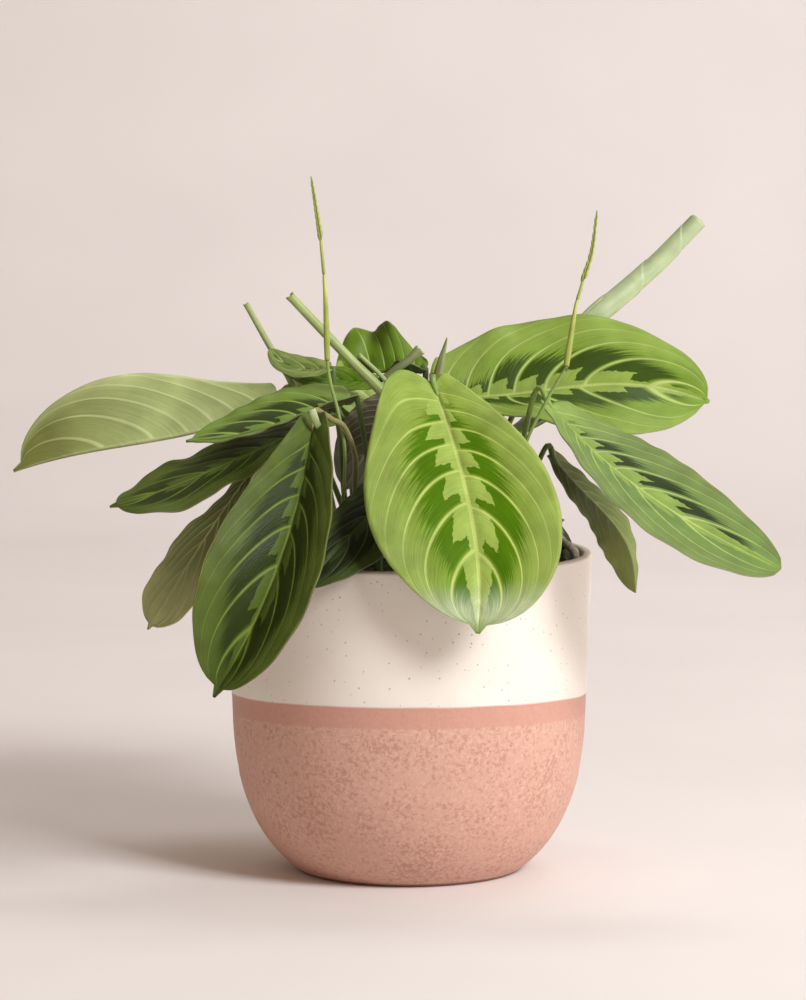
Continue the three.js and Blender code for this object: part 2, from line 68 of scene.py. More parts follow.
# The leaves: midrib points from base to tip, what the upper side faces at base, middle and tip, the widest
# reach of the left and right sides, how far along that is, how much each side is raised at base and tip, and
# the wave of the edge. One value stands for both sides, or for all three places, where they are alike.
LEAVES = {
    "leaf_front": dict(
        foot=(12, -30), neck=3, lobe=(3, 12), look="front", veins=6.6, lean=(0.12, 0.0),
        rib=[(10, -38, 205), (20, -66, 176), (26.5, -86, 145), (27, -96, 111)],
        face=[(-0.25, -0.8, 0.6), (-0.2, -1, 0.3), (-0.2, -1, 0.1)],
        half=(36.5, 41), belly=(0.67, 0.52), fold=[(10, 8), (12, 12)]),
    "leaf_right_upper": dict(
        foot=(16, 6), neck=6, lobe=3, look="blotched", veins=6.2, lean=(0.06, 0.04),
        rib=[(10, 6, 198), (47, 4, 198), (84, 2, 202), (124, -4, 195)],
        face=[(0, -0.65, 0.75), (0.05, -0.65, 0.75), (0.3, -0.7, 0.7)],
        half=33, belly=(0.5, 0.72), fold=[(24, 14), (25, 0)], wave=(1.3, 2.6, 0.3), end=0.99),
    "leaf_right_lower": dict(
        foot=(38, -22), neck=10, lobe=3, look="silvery", veins=6.6, lean=(0.12, 0.14),
        rib=[(57, -38, 196), (78, -56, 176), (106, -68, 156), (148, -74, 134)],
        face=[(0.5, -0.5, 0.75), (0.4, -0.6, 0.75), (0.1, -0.6, 0.75)],
        half=(25, 26), belly=(0.5, 0.66), fold=[(0, 16), (20, 10)], end=1),
    "leaf_right_hanging": dict(
        foot=(40, 16), neck=6, lobe=2, look="dull", veins=7, lean=0.12,
        rib=[(61, 26, 169), (78, 30, 150), (91, 32, 134), (96, 34, 111)],
        face=(0.1, 0.9, 0.3),
        half=(20, 17), belly=(0.66, 0.55), fold=[(45, 45), (88, 88)], wave=(1.5, 2, 0), end=1),
    "leaf_left_far": dict(
        foot=(-24, 14), neck=10, lobe=3, look="pale", veins=5.6, lean=0.1,
        rib=[(-56, 14, 194), (-91, 8, 181), (-126, 4, 175), (-164, 0, 166)],
        face=(0, 0.1, 1),
        half=(30, 28), belly=0.62, fold=[(76, 76), (50, 50)]),
    "leaf_left_upper": dict(
        foot=(-12, -12), neck=3, lobe=2, look="glossy", veins=5.4, lean=0.14,
        rib=[(-24, -16, 196), (-45, -22, 190), (-66, -26, 184), (-91, -28, 181)],
        face=(0, -0.07, 1),
        half=(20, 25), belly=(0.5, 0.45), fold=[(24, 0), (20, 20)]),
    "leaf_left_middle": dict(
        foot=(-25, -4), neck=8, lobe=2, look="deep", veins=6.2, lean=0.14,
        rib=[(-37, -18, 187), (-65, -28, 176), (-92, -38, 165), (-121, -46, 156)],
        face=(0, -0.34, 1),
        half=(19, 24), belly=(0.66, 0.6), fold=[(14, -10), (-6, -6)], wave=(1.2, 3, 0.2)),
    "leaf_left_hanging": dict(
        foot=(-36, -16), neck=8, lobe=1, look="faded", veins=7, lean=0.14,
        rib=[(-62, -26, 171), (-77, -36, 151), (-92, -43, 128), (-106, -46, 106)],
        face=(1, 0.6, 0.4),
        half=(15, 17), belly=0.7, fold=[(-10, -10), (0, 0)], wave=(1, 2.5, 0.2)),
    "leaf_front_left": dict(
        foot=(-20, -30), neck=4, lobe=1, look="deep", veins=6.3, lean=0.14,
        rib=[(-38, -58, 193), (-45, -80, 158), (-57, -93, 124), (-77, -98, 86)],
        face=[(-0.1, -0.8, 0.5), (-0.05, -1, 0.3), (0, -1, 0.1)],
        half=(25, 32), belly=(0.62, 0.68), fold=[(42, 42), (36, 36)],
        via=[(-22, -33, 163), (-22, -38, 176), (-26, -46, 188), (-31, -52, 192)]),
    "leaf_front_inner": dict(
        foot=(2, -22), neck=6, lobe=2, look="shaded", veins=7, lean=0.12,
        rib=[(0, -29, 168), (-12, -49, 158), (-26, -66, 144), (-43, -80, 126)],
        face=(0.25, -0.35, 0.9),
        half=(19, 12), belly=0.5, fold=4, wave=(0.8, 2, 0)),
    "leaf_inner_small": dict(
        foot=(3, -6), neck=5, lobe=2, look="striped", veins=8, lean=0.12,
        rib=[(-4, 2, 194), (-11, 1, 184), (-19, 0, 172), (-27, -1, 158)],
        face=(0.3, 0.8, 0.4),
        half=15, belly=0.5, fold=8),
    "leaf_top_wavy": dict(
        foot=(6, 23), neck=2, lobe=3, look="plain", veins=6, lean=(0.0, 0.05), bend=0.15,
        rib=[(5, 28, 205), (-7, 30, 205), (-19, 32, 205), (-31, 33, 205.5)],
        face=(0, -0.8, 0.6),
        half=(10, 20.5), belly=(0.5, 0.6), fold=[(75, 75), (25, 25)], wave=(6, 1.9, 0.58), end=1),
    "leaf_top_left_curled": dict(
        foot=(-6, 12), neck=1.5, lobe=1, look="sage", veins=3.2, lean=0.15,
        rib=[(-33, 11, 208), (-42, 11, 207.5), (-51, 11, 209.5), (-58, 11, 216)],
        face=(0, -0.75, 0.65),
        half=(5.5, 6), belly=(0.6, 0.5), fold=10, end=1,
        via=[(-20, 9.5, 174), (-29.5, 9.5, 191), (-31.5, 10.5, 203)]),
    "leaf_top_left": dict(
        foot=(-14, 20), neck=6, lobe=1, look="grass", veins=5, lean=0.15,
        rib=[(-14, 19, 201.5), (-28, 19, 202.5), (-42, 19, 204.5), (-55, 19, 209.5)],
        face=(0, -0.75, 0.65),
        half=(6, 6.5), belly=(0.5, 0.45), fold=4, end=1),
    "leaf_back": dict(
        foot=(4, 34), neck=8, lobe=4, look="front", veins=7, lean=0.05,
        rib=[(6, 46, 176), (10, 76, 176), (13, 103, 158), (13, 122, 128)],
        face=[(0, 0.4, 0.9), (0.1, 0.7, 0.7), (0.1, 1, 0.2)],
        half=33, belly=0.52, fold=12),
    "leaf_back_left": dict(
        foot=(-22, 28), neck=8, lobe=3, look="blotched", veins=7, lean=0.08,
        rib=[(-30, 42, 182), (-44, 68, 182), (-57, 92, 166), (-66, 110, 140)],
        face=[(-0.3, 0.3, 0.9), (-0.4, 0.6, 0.7), (-0.5, 0.9, 0.3)],
        half=26, belly=0.52, fold=14),
    "leaf_back_right": dict(
        foot=(24, 32), neck=8, lobe=3, look="blotched", veins=7, lean=0.08,
        rib=[(32, 42, 190), (48, 66, 203), (65, 90, 206), (84, 112, 198)],
        face=[(0.1, -0.1, 1), (0.1, 0, 1), (0.2, 0.2, 1)],
        half=25, belly=0.52, fold=14),
    "leaf_back_upper": dict(
        foot=(-8, 30), neck=8, lobe=3, look="front", veins=7, lean=0.08,
        rib=[(-12, 38, 184), (-20, 64, 194), (-30, 90, 192), (-42, 114, 180)],
        face=[(0, -0.1, 1), (0, 0.1, 1), (0, 0.3, 1)],
        half=24, belly=0.52, fold=10),
    "leaf_right_back": dict(
        foot=(34, 26), neck=8, lobe=3, look="blotched", veins=7, lean=0.1,
        rib=[(50, 38, 180), (74, 54, 189), (98, 68, 190), (122, 80, 183)],
        face=[(0.1, 0.2, 1), (0.2, 0.3, 1), (0.3, 0.4, 1)],
        half=21, belly=0.52, fold=10),
}
# Leaves whose stalks stand in shade: those stalks take a darker copy of the green stalk skin, which is painted
# shade
SHADED_STALKS = ("leaf_left_upper", "leaf_left_middle", "leaf_left_hanging", "leaf_front_inner",
                 "leaf_inner_small", "leaf_right_hanging", "leaf_top_wavy", "leaf_top_left",
                 "leaf_top_left_curled")
BLADE_CELLS = (40, 96)
BLADE_THICKNESS = 0.5
STALK_RADIUS = 1.25
STEM_RADIUS = 1.2
# Veins: how far they bend along the blade, and the steps of the table they are read from
VEIN_BEND = 0.6
VEIN_STEPS = 128
SPIKE_SCALES = 18

# The other stems: foot in the soil, the points on the way, and what is at the end
CUT_STALKS = {
    "cut_stalk_thick": dict(foot=(22, -8), via=[(14, -9, 170), (-10, -15, 199), (-23.5, -17, 213)],
                            end=(-49, -18, 240), radius=2.5, tip=1.75),
    "cut_stalk_left": dict(foot=(-31, 27), via=[(-38, 28, 170), (-49, 28, 200), (-55, 28, 210)],
                           end=(-68.5, 28, 234), radius=2, tip=1.15),
    "cut_stalk_thin": dict(foot=(28, 3), via=[(18, -4, 170), (-8, -10, 202.5)],
                           end=(-21, -11, 215.5), radius=1.1, tip=0.9),
}
ROLLED_LEAF = dict(foot=(27, 14), via=[(38, 20, 175), (52, 25, 203)],
                   roll=[(60, 27, 213), (79, 32, 229), (102, 40, 248), (122.5, 46, 268)])
YOUNG_SHOOT = dict(foot=(14, -16), roll=[(12.5, -16, 170), (11.4, -16, 198), (13, -16, 212), (15.5, -16, 222.5)])
FLOWER_STALKS = {
    "flower_stalk_left": dict(
        foot=(-28, -42), stem=[(-26, -43, 176), (-28.5, -42, 193), (-31.6, -42, 205), (-33, -42, 214)],
        sheath=[(-33, -42, 215), (-33.7, -42, 239)], top=[(-34.4, -41, 250), (-35.4, -41, 261)],
        spike=[(-35.6, -41, 264), (-37.6, -41, 277), (-39.5, -40, 289)]),
    "flower_stalk_right": dict(
        foot=(40, -48), stem=[(46, -48, 178), (54.8, -48, 198), (59.6, -48, 206.5), (63, -48, 212)],
        sheath=[(63.2, -48, 213), (66.8, -46, 236)], top=[(67.7, -46, 240), (69.3, -45, 245)],
        spike=[(69.9, -45, 247.5), (73.4, -44, 259), (75.5, -44, 275.5)]),
}


# Camera
def place_camera():
    """A long lens a metre and three quarters away, a little above the leaves."""
    lens = bpy.data.cameras.new("camera")
    lens.sensor_fit = "VERTICAL"
    lens.sensor_height = 24
    lens.lens = lens.sensor_height / 2 / math.tan(math.radians(13.3) / 2)
    lens.clip_start = 0.05
    lens.clip_end = 30
    camera = bpy.data.objects.new("camera", lens)
    camera.location = Vector((-2.5, -1770, 337)) * MM
    towards = Vector((-2.5, 0, 154)) * MM - camera.location
    camera.rotation_euler = towards.to_track_quat("-Z", "Y").to_euler()
    bpy.context.collection.objects.link(camera)
    bpy.context.scene.camera = camera


place_camera()


# Materials. Pattern scales are counts per metre: a scale of 400 has a speck every 2.5 mm.
def colour(code):
    """A linear colour from an sRGB hex value."""
    parts = [int(code[i:i + 2], 16) / 255 for i in (0, 2, 4)]
    return [c / 12.92 if c <= 0.04045 else ((c + 0.055) / 1.055) ** 2.4 for c in parts] + [1]


def add_node(tree, kind, inputs=(), **settings):
    """Adds one node with its settings, and sets or links its inputs, given in order or by name. Inputs left out
    keep their defaults, such as a range that runs from 0 to 1."""
    made = tree.nodes.new("ShaderNode" + kind)
    for name, value in settings.items():
        setattr(made, name, value)
    for key, value in inputs.items() if isinstance(inputs, dict) else enumerate(inputs):
        if isinstance(value, bpy.types.Node):
            value = value.outputs[0]
        if isinstance(value, bpy.types.NodeSocket):
            tree.links.new(value, made.inputs[key])
        elif value is not None:
            made.inputs[key].default_value = value
    return made


def new_material(name):
    """An empty node material, and the helper that adds nodes to it."""
    material = bpy.data.materials.new(name)
    material.use_nodes = True
    material.node_tree.nodes.clear()
    return material, functools.partial(add_node, material.node_tree)


SMOOTH = dict(interpolation_type="SMOOTHSTEP")

# Living leaf, thin and waxed: satin gloss, pale veins, dark blotches with frayed outer ends, and a light
# toothed zone along the midrib. The tints of the upper side are its margin, inner part, blotches, zone and
# veins, and those of the underside are near the base, near the tip and on the veins. `reach` is how far out
# the blotches go, `zone_width` how wide the zone is, `right` how much of the blotches the right half has, `gap`
# how far they keep off the veins, `left` how much painted light brightens the left half and `painted_tip_sheen` how
# strong the painted whitish sheen at the tip is.
USUAL_LOOK = dict(reach=0.7, zone_width=0.2, right=1, gap=0.05, left=1, painted_tip_sheen=0)
LEAF_LOOKS = {
    "front": dict(
        upper=("99B056", "7FA02C", "557F0C", "A9C35E", "C6DB78"), under=("94A866", "8A9E5C", "B7C48B"),
        rough=0.34, reach=0.62, zone_width=0.23, left=1.16, painted_tip_sheen=1),
    "blotched": dict(
        upper=("8EA94A", "7C9C34", "3F5618", "98B052", "BACC78"), under=("8B9C62", "8B9C62", "ADB988"),
        rough=0.36, reach=0.6),
    "silvery": dict(
        upper=("768B4C", "74904A", "2E3C16", "8DA850", "AFC272"), under=("8D9A6E", "8D9A6E", "A9B48C"),
        rough=0.42, reach=0.56, zone_width=0.22, right=0.12, gap=0.1),
    "glossy": dict(
        upper=("7F9B42", "6C8A32", "3A4A1C", "7C9A44", "A8BE64"), under=("6C7444", "6C7444", "8C9460"),
        rough=0.34),
    "deep": dict(
        upper=("58682A", "4A5C22", "323D15", "56682A", "76893A"), under=("5E6238", "66683C", "7C7E50"),
        rough=0.38, reach=0.72),
    # Painted shade: this leaf lies in the shade of the leaves around it, and its tints are darkened for that
    "shaded": dict(
        upper=("435420", "35441A", "242C10", "38481C", "58692E"), under=("4E4E34", "4E4E34", "66664A"),
        rough=0.45, reach=0.8),
    "dull": dict(
        upper=("7E8648", "6E7840", "525C2E", "7E8648", "98A062"), under=("66723C", "8A9654", "8C965E"),
        rough=0.5),
    "faded": dict(
        upper=("C2BC7E", "A6A674", "868A5C", "A8A872", "C0BC8E"), under=("828C58", "C4CB92", "D2CE90"),
        rough=0.5),
    "striped": dict(
        upper=("6A6650", "5C5A46", "4A4836", "6A6650", "8E8868"), under=("5C5844", "6A6550", "9C947A"),
        rough=0.55),
    "plain": dict(
        upper=("688626", "76962A", "5E7E1C", "76962C", "B8CC6C"), under=("6C7A4C", "6C7A4C", "8A966A"),
        rough=0.36, reach=0.5, zone_width=0.1),
    "sage": dict(
        upper=("7E8E48", "8A9A52", "6C7E3C", "8C9C56", "B8C284"), under=("8A9C5C", "94A468", "B8C48C"),
        rough=0.42, reach=0.6, zone_width=0.1),
    "grass": dict(
        upper=("66821E", "587616", "4C6C12", "608018", "7C9A30"), under=("64803A", "64803A", "8AA050"),
        rough=0.38, reach=0.5, zone_width=0.1),
    # The pale look's underside tip tint is painted shade: darker where the blade turns down, away from the light
    "pale": dict(
        upper=("8EA65A", "7F9A4A", "63803A", "9DB268", "C6D296"), under=("BCCA86", "787E3C", "DCE6A8"),
        rough=0.45),
}


def leaf_ground(add, stretch, scale, roughness, cloud_scale):
    """What both sides of a blade share: where a point is on it, streaks that run with the side veins, and light
    and dark clouds. The place is the count of veins up to it, how far out it is, how far across and along."""
    veins = add("SeparateXYZ", [add("UVMap", uv_map="veins")])
    blade = add("SeparateXYZ", [add("UVMap", uv_map="blade")])
    count, outward = veins.outputs[0], veins.outputs[1]
    sideways, along = blade.outputs[0], blade.outputs[1]
    spread = add("VectorMath", [add("CombineXYZ", [count, outward, along]), stretch], operation="MULTIPLY")
    streak = add("TexNoise", {"Vector": spread, "Scale": scale, "Detail": 3.0, "Roughness": roughness})
    place = add("TexCoord").outputs["Object"]
    cloud = add("TexNoise", {"Vector": place, "Scale": cloud_scale})
    cloudy = add("MapRange", [cloud, 0.3, 0.7, 0.86, 1.1])
    fine = add("MapRange", [streak, 0.3, 0.7, 0.9, 1.1])
    light = add("Math", [cloudy, fine], operation="MULTIPLY")
    return count, outward, sideways, along, place, streak, light


def leaf_skin(add, tone, light, rough, height, shine, relief, glow):
    """The thin waxed skin itself, bumped by its height, with some light shining through."""
    tone = add("VectorMath", [tone, None, None, light], operation="SCALE")
    bump = add("Bump", {"Strength": relief, "Distance": 0.3 * MM, "Height": height})
    skin = add("BsdfPrincipled", {"Base Color": tone, "Roughness": rough, "IOR": 1.42,
                                  "Specular IOR Level": shine, "Normal": bump})
    through = add("BsdfTranslucent", {"Color": tone})
    add("OutputMaterial", [add("MixShader", [glow, skin, through])])


def leaf_face(name):
    """The upper side of a blade."""
    look = USUAL_LOOK | LEAF_LOOKS[name]
    margin, inner, dark, pale, ridge = (colour(code) for code in look["upper"])
    material, add = new_material("leaf_upper_" + name)
    # Streaks about 0.8 mm apart, clouds of a centimetre or so, as growth leaves them
    count, outward, sideways, along, place, streak, light = leaf_ground(
        add, stretch=(14, 2.2, 1), scale=1.6, roughness=0.65, cloud_scale=90)
    # No two cells between veins are quite alike
    cell = add("Math", [count], operation="FLOOR")
    cell = add("CombineXYZ", [cell, add("Math", [sideways], operation="ROUND"), 0.0])
    chance = add("TexWhiteNoise", [cell], noise_dimensions="3D").outputs["Value"]
    near = add("Math", [count, 0.5], operation="PINGPONG")
    across = add("Math", [count], operation="FRACT")
    # Saw teeth: the light zone widens from each vein and is then cut back almost to the midrib
    jag = add("TexNoise", {"Vector": place, "Scale": 380.0, "Detail": 1.0})
    cut = add("MapRange", [jag, 0.3, 0.7, -0.05, 0.05])
    cut = add("Math", [cut, across], operation="ADD")
    wide = look["zone_width"]
    tooth = add("MapRange", [across, 0.0, 0.62, wide * 0.8, wide * 1.15])
    narrower = add("MapRange", [along, 0.66, 0.9, 1.0, 0.5])
    cut_back = add("MapRange", [cut, 0.62, 0.7, 1.0, 0.3])
    for share in (narrower, cut_back):
        tooth = add("Math", [tooth, share], operation="MULTIPLY")
    edge = add("MapRange", [jag, 0.3, 0.7, -0.016, 0.02])
    edge = add("Math", [edge, tooth], operation="ADD")
    edge = add("Math", [edge, add("MapRange", [chance, 0.0, 1.0, 0.8, 1.2])], operation="MULTIPLY")
    past_edge = add("Math", [outward, edge], operation="SUBTRACT")
    beyond_zone = add("MapRange", [past_edge, -0.006, 0.012], **SMOOTH)
    # The blotch starts sharply at the zone, frays out along the streaks, and is shorter near base and tip
    fray = add("MapRange", [streak, 0.3, 0.7, -0.11, 0.11])
    faded = add("Math", [outward, fray], operation="ADD")
    longer = add("MapRange", [chance, 0.0, 1.0, 0.14, -0.08])
    near_tip = add("MapRange", [along, 0.68, 0.95, 0.0, 0.2])
    near_base = add("MapRange", [along, 0.1, 0.3, 0.22, 0.0])
    shorter = add("Math", [near_tip, near_base], operation="ADD")
    ends = add("Math", [faded, longer], operation="ADD")
    ends = add("Math", [ends, shorter], operation="ADD")
    blotch = add("MapRange", [ends, look["reach"] - 0.16, look["reach"], 1.0, 0.0], **SMOOTH)
    started = add("MapRange", [along, 0.07, 0.15], **SMOOTH)
    finished = add("MapRange", [along, 0.86, 0.95, 1.0, 0.0], **SMOOTH)
    off_vein = add("MapRange", [near, look["gap"], look["gap"] + 0.07, 0.0, 1.0], **SMOOTH)
    on_right = add("MapRange", [sideways, 0.49, 0.51, 1.0, look["right"]])
    for mask in (beyond_zone, started, finished, off_vein, on_right):
        blotch = add("Math", [blotch, mask], operation="MULTIPLY")
    to_margin = add("MapRange", [faded, 0.3, 0.85], **SMOOTH)
    at_base = add("MapRange", [along, 0.02, 0.3, 0.8, 0.0], **SMOOTH)
    zone = add("Math", [1.0, beyond_zone], operation="SUBTRACT")
    # Side veins, about 1 mm wide, fainter towards the margin, and the midrib
    slender = add("MapRange", [outward, 0.1, 0.95, 0.03, 0.038])
    vein = add("Math", [near, slender], operation="SUBTRACT")
    vein = add("MapRange", [vein, -0.012, 0.026, 1.0, 0.0], **SMOOTH)
    thinning = add("MapRange", [outward, 0.5, 0.97, 1.0, 0.2])
    vein = add("Math", [vein, thinning], operation="MULTIPLY")
    rib = add("MapRange", [outward, 0.014, 0.032, 1.0, 0.0], **SMOOTH)
    vein = add("Math", [vein, rib], operation="MAXIMUM")
    rim = add("MapRange", [outward, 0.982, 0.994, 0.0, 0.5], **SMOOTH)
    # Painted sheen: a whitish highlight painted into the colour towards the tip
    painted_tip_sheen = add("MapRange", [along, 0.8, 0.93, 0.0, look["painted_tip_sheen"]], **SMOOTH)
    green_tip = add("MapRange", [along, 0.94, 0.99, 1.0, 0.3])
    for share in (green_tip, streak):
        painted_tip_sheen = add("Math", [painted_tip_sheen, share], operation="MULTIPLY")
    tone = inner
    for share, tint in ((to_margin, margin), (at_base, pale), (blotch, dark), (zone, pale), (vein, ridge),
                        (rim, colour("A59A60")), (painted_tip_sheen, colour("DCE4CE"))):
        tone = add("MixRGB", [share, tone, tint])
    # Painted light: the left half of the blade is made lighter, as if more light fell on it
    half = add("MapRange", [sideways, 0.48, 0.52, look["left"], 1.0])
    light = add("Math", [light, half], operation="MULTIPLY")
    rough = add("MapRange", [streak, 0.3, 0.7, look["rough"] - 0.06, look["rough"] + 0.08])
    # The wax stands up a little between the veins
    height = add("Math", [vein, -0.6, streak], operation="MULTIPLY_ADD")
    leaf_skin(add, tone, light, rough, height, shine=0.24, relief=0.6, glow=0.16)
    return material


def leaf_back(name):
    """The underside of a blade: matt, paler, with broad raised veins."""
    low, high, ridge = (colour(code) for code in LEAF_LOOKS[name]["under"])
    material, add = new_material("leaf_under_" + name)
    count, outward, _, along, _, streak, light = leaf_ground(
        add, stretch=(9, 2, 1), scale=1.5, roughness=0.6, cloud_scale=70)
    near = add("Math", [count, 0.5], operation="PINGPONG")
    vein = add("MapRange", [near, 0.02, 0.1, 1.0, 0.0], **SMOOTH)
    rib = add("MapRange", [outward, 0.025, 0.06, 1.0, 0.0], **SMOOTH)
    vein = add("Math", [vein, rib], operation="MAXIMUM")
    vein = add("Math", [vein, 0.8], operation="MULTIPLY")
    # Towards the tip the tone shifts to the tip tint, which on the pale look is painted shade, and the veins fade;
    # the edge is pale
    tip_tone_and_shade = add("MapRange", [along, 0.4, 0.95], **SMOOTH)
    raised = add("Math", [tip_tone_and_shade, -0.5, vein], operation="MULTIPLY_ADD", use_clamp=True)
    edge = add("MapRange", [outward, 0.7, 1.0, 0.0, 0.35], **SMOOTH)
    tone = low
    for share, tint in ((tip_tone_and_shade, high), (raised, ridge), (edge, ridge)):
        tone = add("MixRGB", [share, tone, tint])
    height = add("Math", [vein, 0.8, streak], operation="MULTIPLY_ADD")
    leaf_skin(add, tone, light, 0.55, height, shine=0.3, relief=0.5, glow=0.2)
    return material


def stalk_skin(name, low, high, stripe):
    """Living stem skin: fine stripes along the stem, darker patches, a satin gloss and a little light inside."""
    material, add = new_material(name)
    blade = add("SeparateXYZ", [add("UVMap", uv_map="blade")])
    around, along = blade.outputs[0], blade.outputs[1]
    place = add("TexCoord").outputs["Object"]
    lines = add("VectorMath", [add("CombineXYZ", [around, along]), (22, 3, 1)], operation="MULTIPLY")
    streak = add("TexNoise", {"Vector": lines, "Scale": 1.0})
    patch = add("TexNoise", {"Vector": place, "Scale": 130.0, "Detail": 3.0})
    climb = add("MapRange", [along, 0.3, 1.0], **SMOOTH)
    tone = add("MixRGB", [climb, colour(low), colour(high)])
    lined = add("MapRange", [streak, 0.45, 0.62, 0.0, 0.6], **SMOOTH)
    tone = add("MixRGB", [lined, tone, colour(stripe)])
    light = add("MapRange", [patch, 0.3, 0.7, 0.86, 1.1])
    tone = add("VectorMath", [tone, None, None, light], operation="SCALE")
    bump = add("Bump", {"Strength": 0.4, "Distance": 0.3 * MM, "Height": streak})
    skin = add("BsdfPrincipled", {"Base Color": tone, "Roughness": 0.45, "IOR": 1.45,
                                  "Subsurface Weight": 0.15, "Subsurface Scale": 2 * MM, "Normal": bump})
    add("OutputMaterial", [skin])
    return material


def stoneware():
    """Fired stoneware: speckled cream glaze above, a smooth band and mottled pink glaze below, bare foot."""
    material, add = new_material("glazed_stoneware")
    place = add("TexCoord").outputs["Object"]
    axes = add("SeparateXYZ", [place])
    # Height above the glaze line, in millimetres, with a hand-dipped waver of a third of a millimetre
    level = add("Math", [axes.outputs[1], GLAZE_SLOPE, axes.outputs[2]], operation="MULTIPLY_ADD")
    above = add("Math", [level, 1 / MM, -GLAZE_LINE], operation="MULTIPLY_ADD")
    waver = add("TexNoise", {"Vector": place, "Scale": 45.0})
    above = add("Math", [waver, 0.9, above], operation="MULTIPLY_ADD")
    above = add("Math", [above, 0.45], operation="SUBTRACT")
    cream_side = add("MapRange", [above, -0.6, 0.5], **SMOOTH)
    band_side = add("MapRange", [above, -BAND_HEIGHT - 0.5, -BAND_HEIGHT + 0.5], **SMOOTH)
    # Cream glaze: iron specks, most under half a millimetre, a few millimetres apart
    specks = add("TexVoronoi", {"Vector": place, "Scale": 400.0})
    chance = add("SeparateXYZ", [specks.outputs["Color"]])
    size = add("MapRange", [chance.outputs[0], 0.0, 1.0, 0.05, 0.24])
    inside = add("Math", [size, specks.outputs["Distance"]], operation="SUBTRACT")
    speck = add("MapRange", [inside, 0.0, 0.12, 0.0, 0.55], **SMOOTH)
    cloud = add("TexNoise", {"Vector": place, "Scale": 28.0, "Detail": 3.0})
    cream = add("MixRGB", [add("MapRange", [cloud, 0.35, 0.65]), colour("ECE4DB"), colour("E6DCD1")])
    cream = add("MixRGB", [speck, cream, colour("94633F")])
    # Pink glaze: wormy grains of 1 to 2 mm, darker red flecks in a lighter ground
    grain = add("TexNoise", {"Vector": place, "Scale": 620.0, "Detail": 3.0, "Roughness": 0.55, "Distortion": 0.8})
    drift = add("TexNoise", {"Vector": place, "Scale": 60.0})
    fleck = add("Math", [drift, 0.3, grain], operation="MULTIPLY_ADD")
    fleck = add("MapRange", [fleck, 0.66, 0.8, 0.0, 0.6], **SMOOTH)
    pink = add("MixRGB", [fleck, colour("CD9F8D"), colour("AF7B69")])
    lighter = add("MapRange", [grain, 0.48, 0.3, 0.0, 0.4], **SMOOTH)
    pink = add("MixRGB", [lighter, pink, colour("E2BCAB")])
    band = add("MixRGB", [add("MapRange", [grain, 0.3, 0.7]), colour("CB9786"), colour("C38F7D")])
    # The lip wears to a browner edge, and the foot is bare clay
    lip = add("MapRange", [axes.outputs[2], (POT_HEIGHT - 1.4) * MM, POT_HEIGHT * MM, 0.0, 0.55], **SMOOTH)
    foot = add("MapRange", [axes.outputs[2], 1.0 * MM, 1.8 * MM, 1.0, 0.0], **SMOOTH)
    tone = pink
    for share, tint in ((band_side, band), (cream_side, cream), (lip, colour("B79A80")), (foot, colour("8E5F4C"))):
        tone = add("MixRGB", [share, tone, tint])
    # Satin glazes: broad soft highlights, a little duller on the pink, and hardly any relief
    rough = add("MixRGB", [cream_side, (0.52, 0.52, 0.52, 1), (0.4, 0.4, 0.4, 1)])
    height = add("MixRGB", [cream_side, grain, cloud])
    bump = add("Bump", {"Strength": 0.25, "Distance": 0.3 * MM, "Height": height})
    glaze = add("BsdfPrincipled", {"Base Color": tone, "Roughness": rough, "IOR": 1.5, "Normal": bump})
    add("OutputMaterial", [glaze])
    return material


def earth(name, dark, light, moss, scale, mossy):
    """Damp potting mix or bark: dark crumbs, lighter fibres, a film of moss in places, and no shine at all."""
    material, add = new_material(name)
    place = add("TexCoord").outputs["Object"]
    crumb = add("TexNoise", {"Vector": place, "Scale": scale, "Detail": 5.0, "Roughness": 0.7})
    film = add("TexNoise", {"Vector": place, "Scale": 75.0, "Detail": 3.0})
    tone = add("MixRGB", [add("MapRange", [crumb, 0.35, 0.68]), colour(dark), colour(light)])
    green = add("MapRange", [film, 0.5 - mossy, 0.62 - mossy, 0.0, 0.8], **SMOOTH)
    tone = add("MixRGB", [green, tone, colour(moss)])
    bump = add("Bump", {"Strength": 0.8, "Distance": 0.8 * MM, "Height": crumb})
    skin = add("BsdfPrincipled", {"Base Color": tone, "Roughness": 0.9, "Normal": bump})
    add("OutputMaterial", [skin])
    return material


def plaster():
    """The plain matt surface it stands on: pale, even, without a reflection."""
    material, add = new_material("matt_surface")
    place = add("TexCoord").outputs["Object"]
    cloud = add("TexNoise", {"Vector": place, "Scale": 6.0})
    light = add("MapRange", [cloud, 0.3, 0.7, 0.98, 1.02])
    tone = add("VectorMath", [colour("E4DEDB")[:3], None, None, light], operation="SCALE")
    skin = add("BsdfPrincipled", {"Base Color": tone, "Roughness": 0.9, "Specular IOR Level": 0.2})
    add("OutputMaterial", [skin])
    return material


UPPER = {look: leaf_face(look) for look in LEAF_LOOKS}
UNDER = {look: leaf_back(look) for look in LEAF_LOOKS}
# Stem skins: the colour near the foot, near the top and of the stripes
STALK_GREEN = stalk_skin("stalk_green", "56682E", "7E9848", "98AE62")
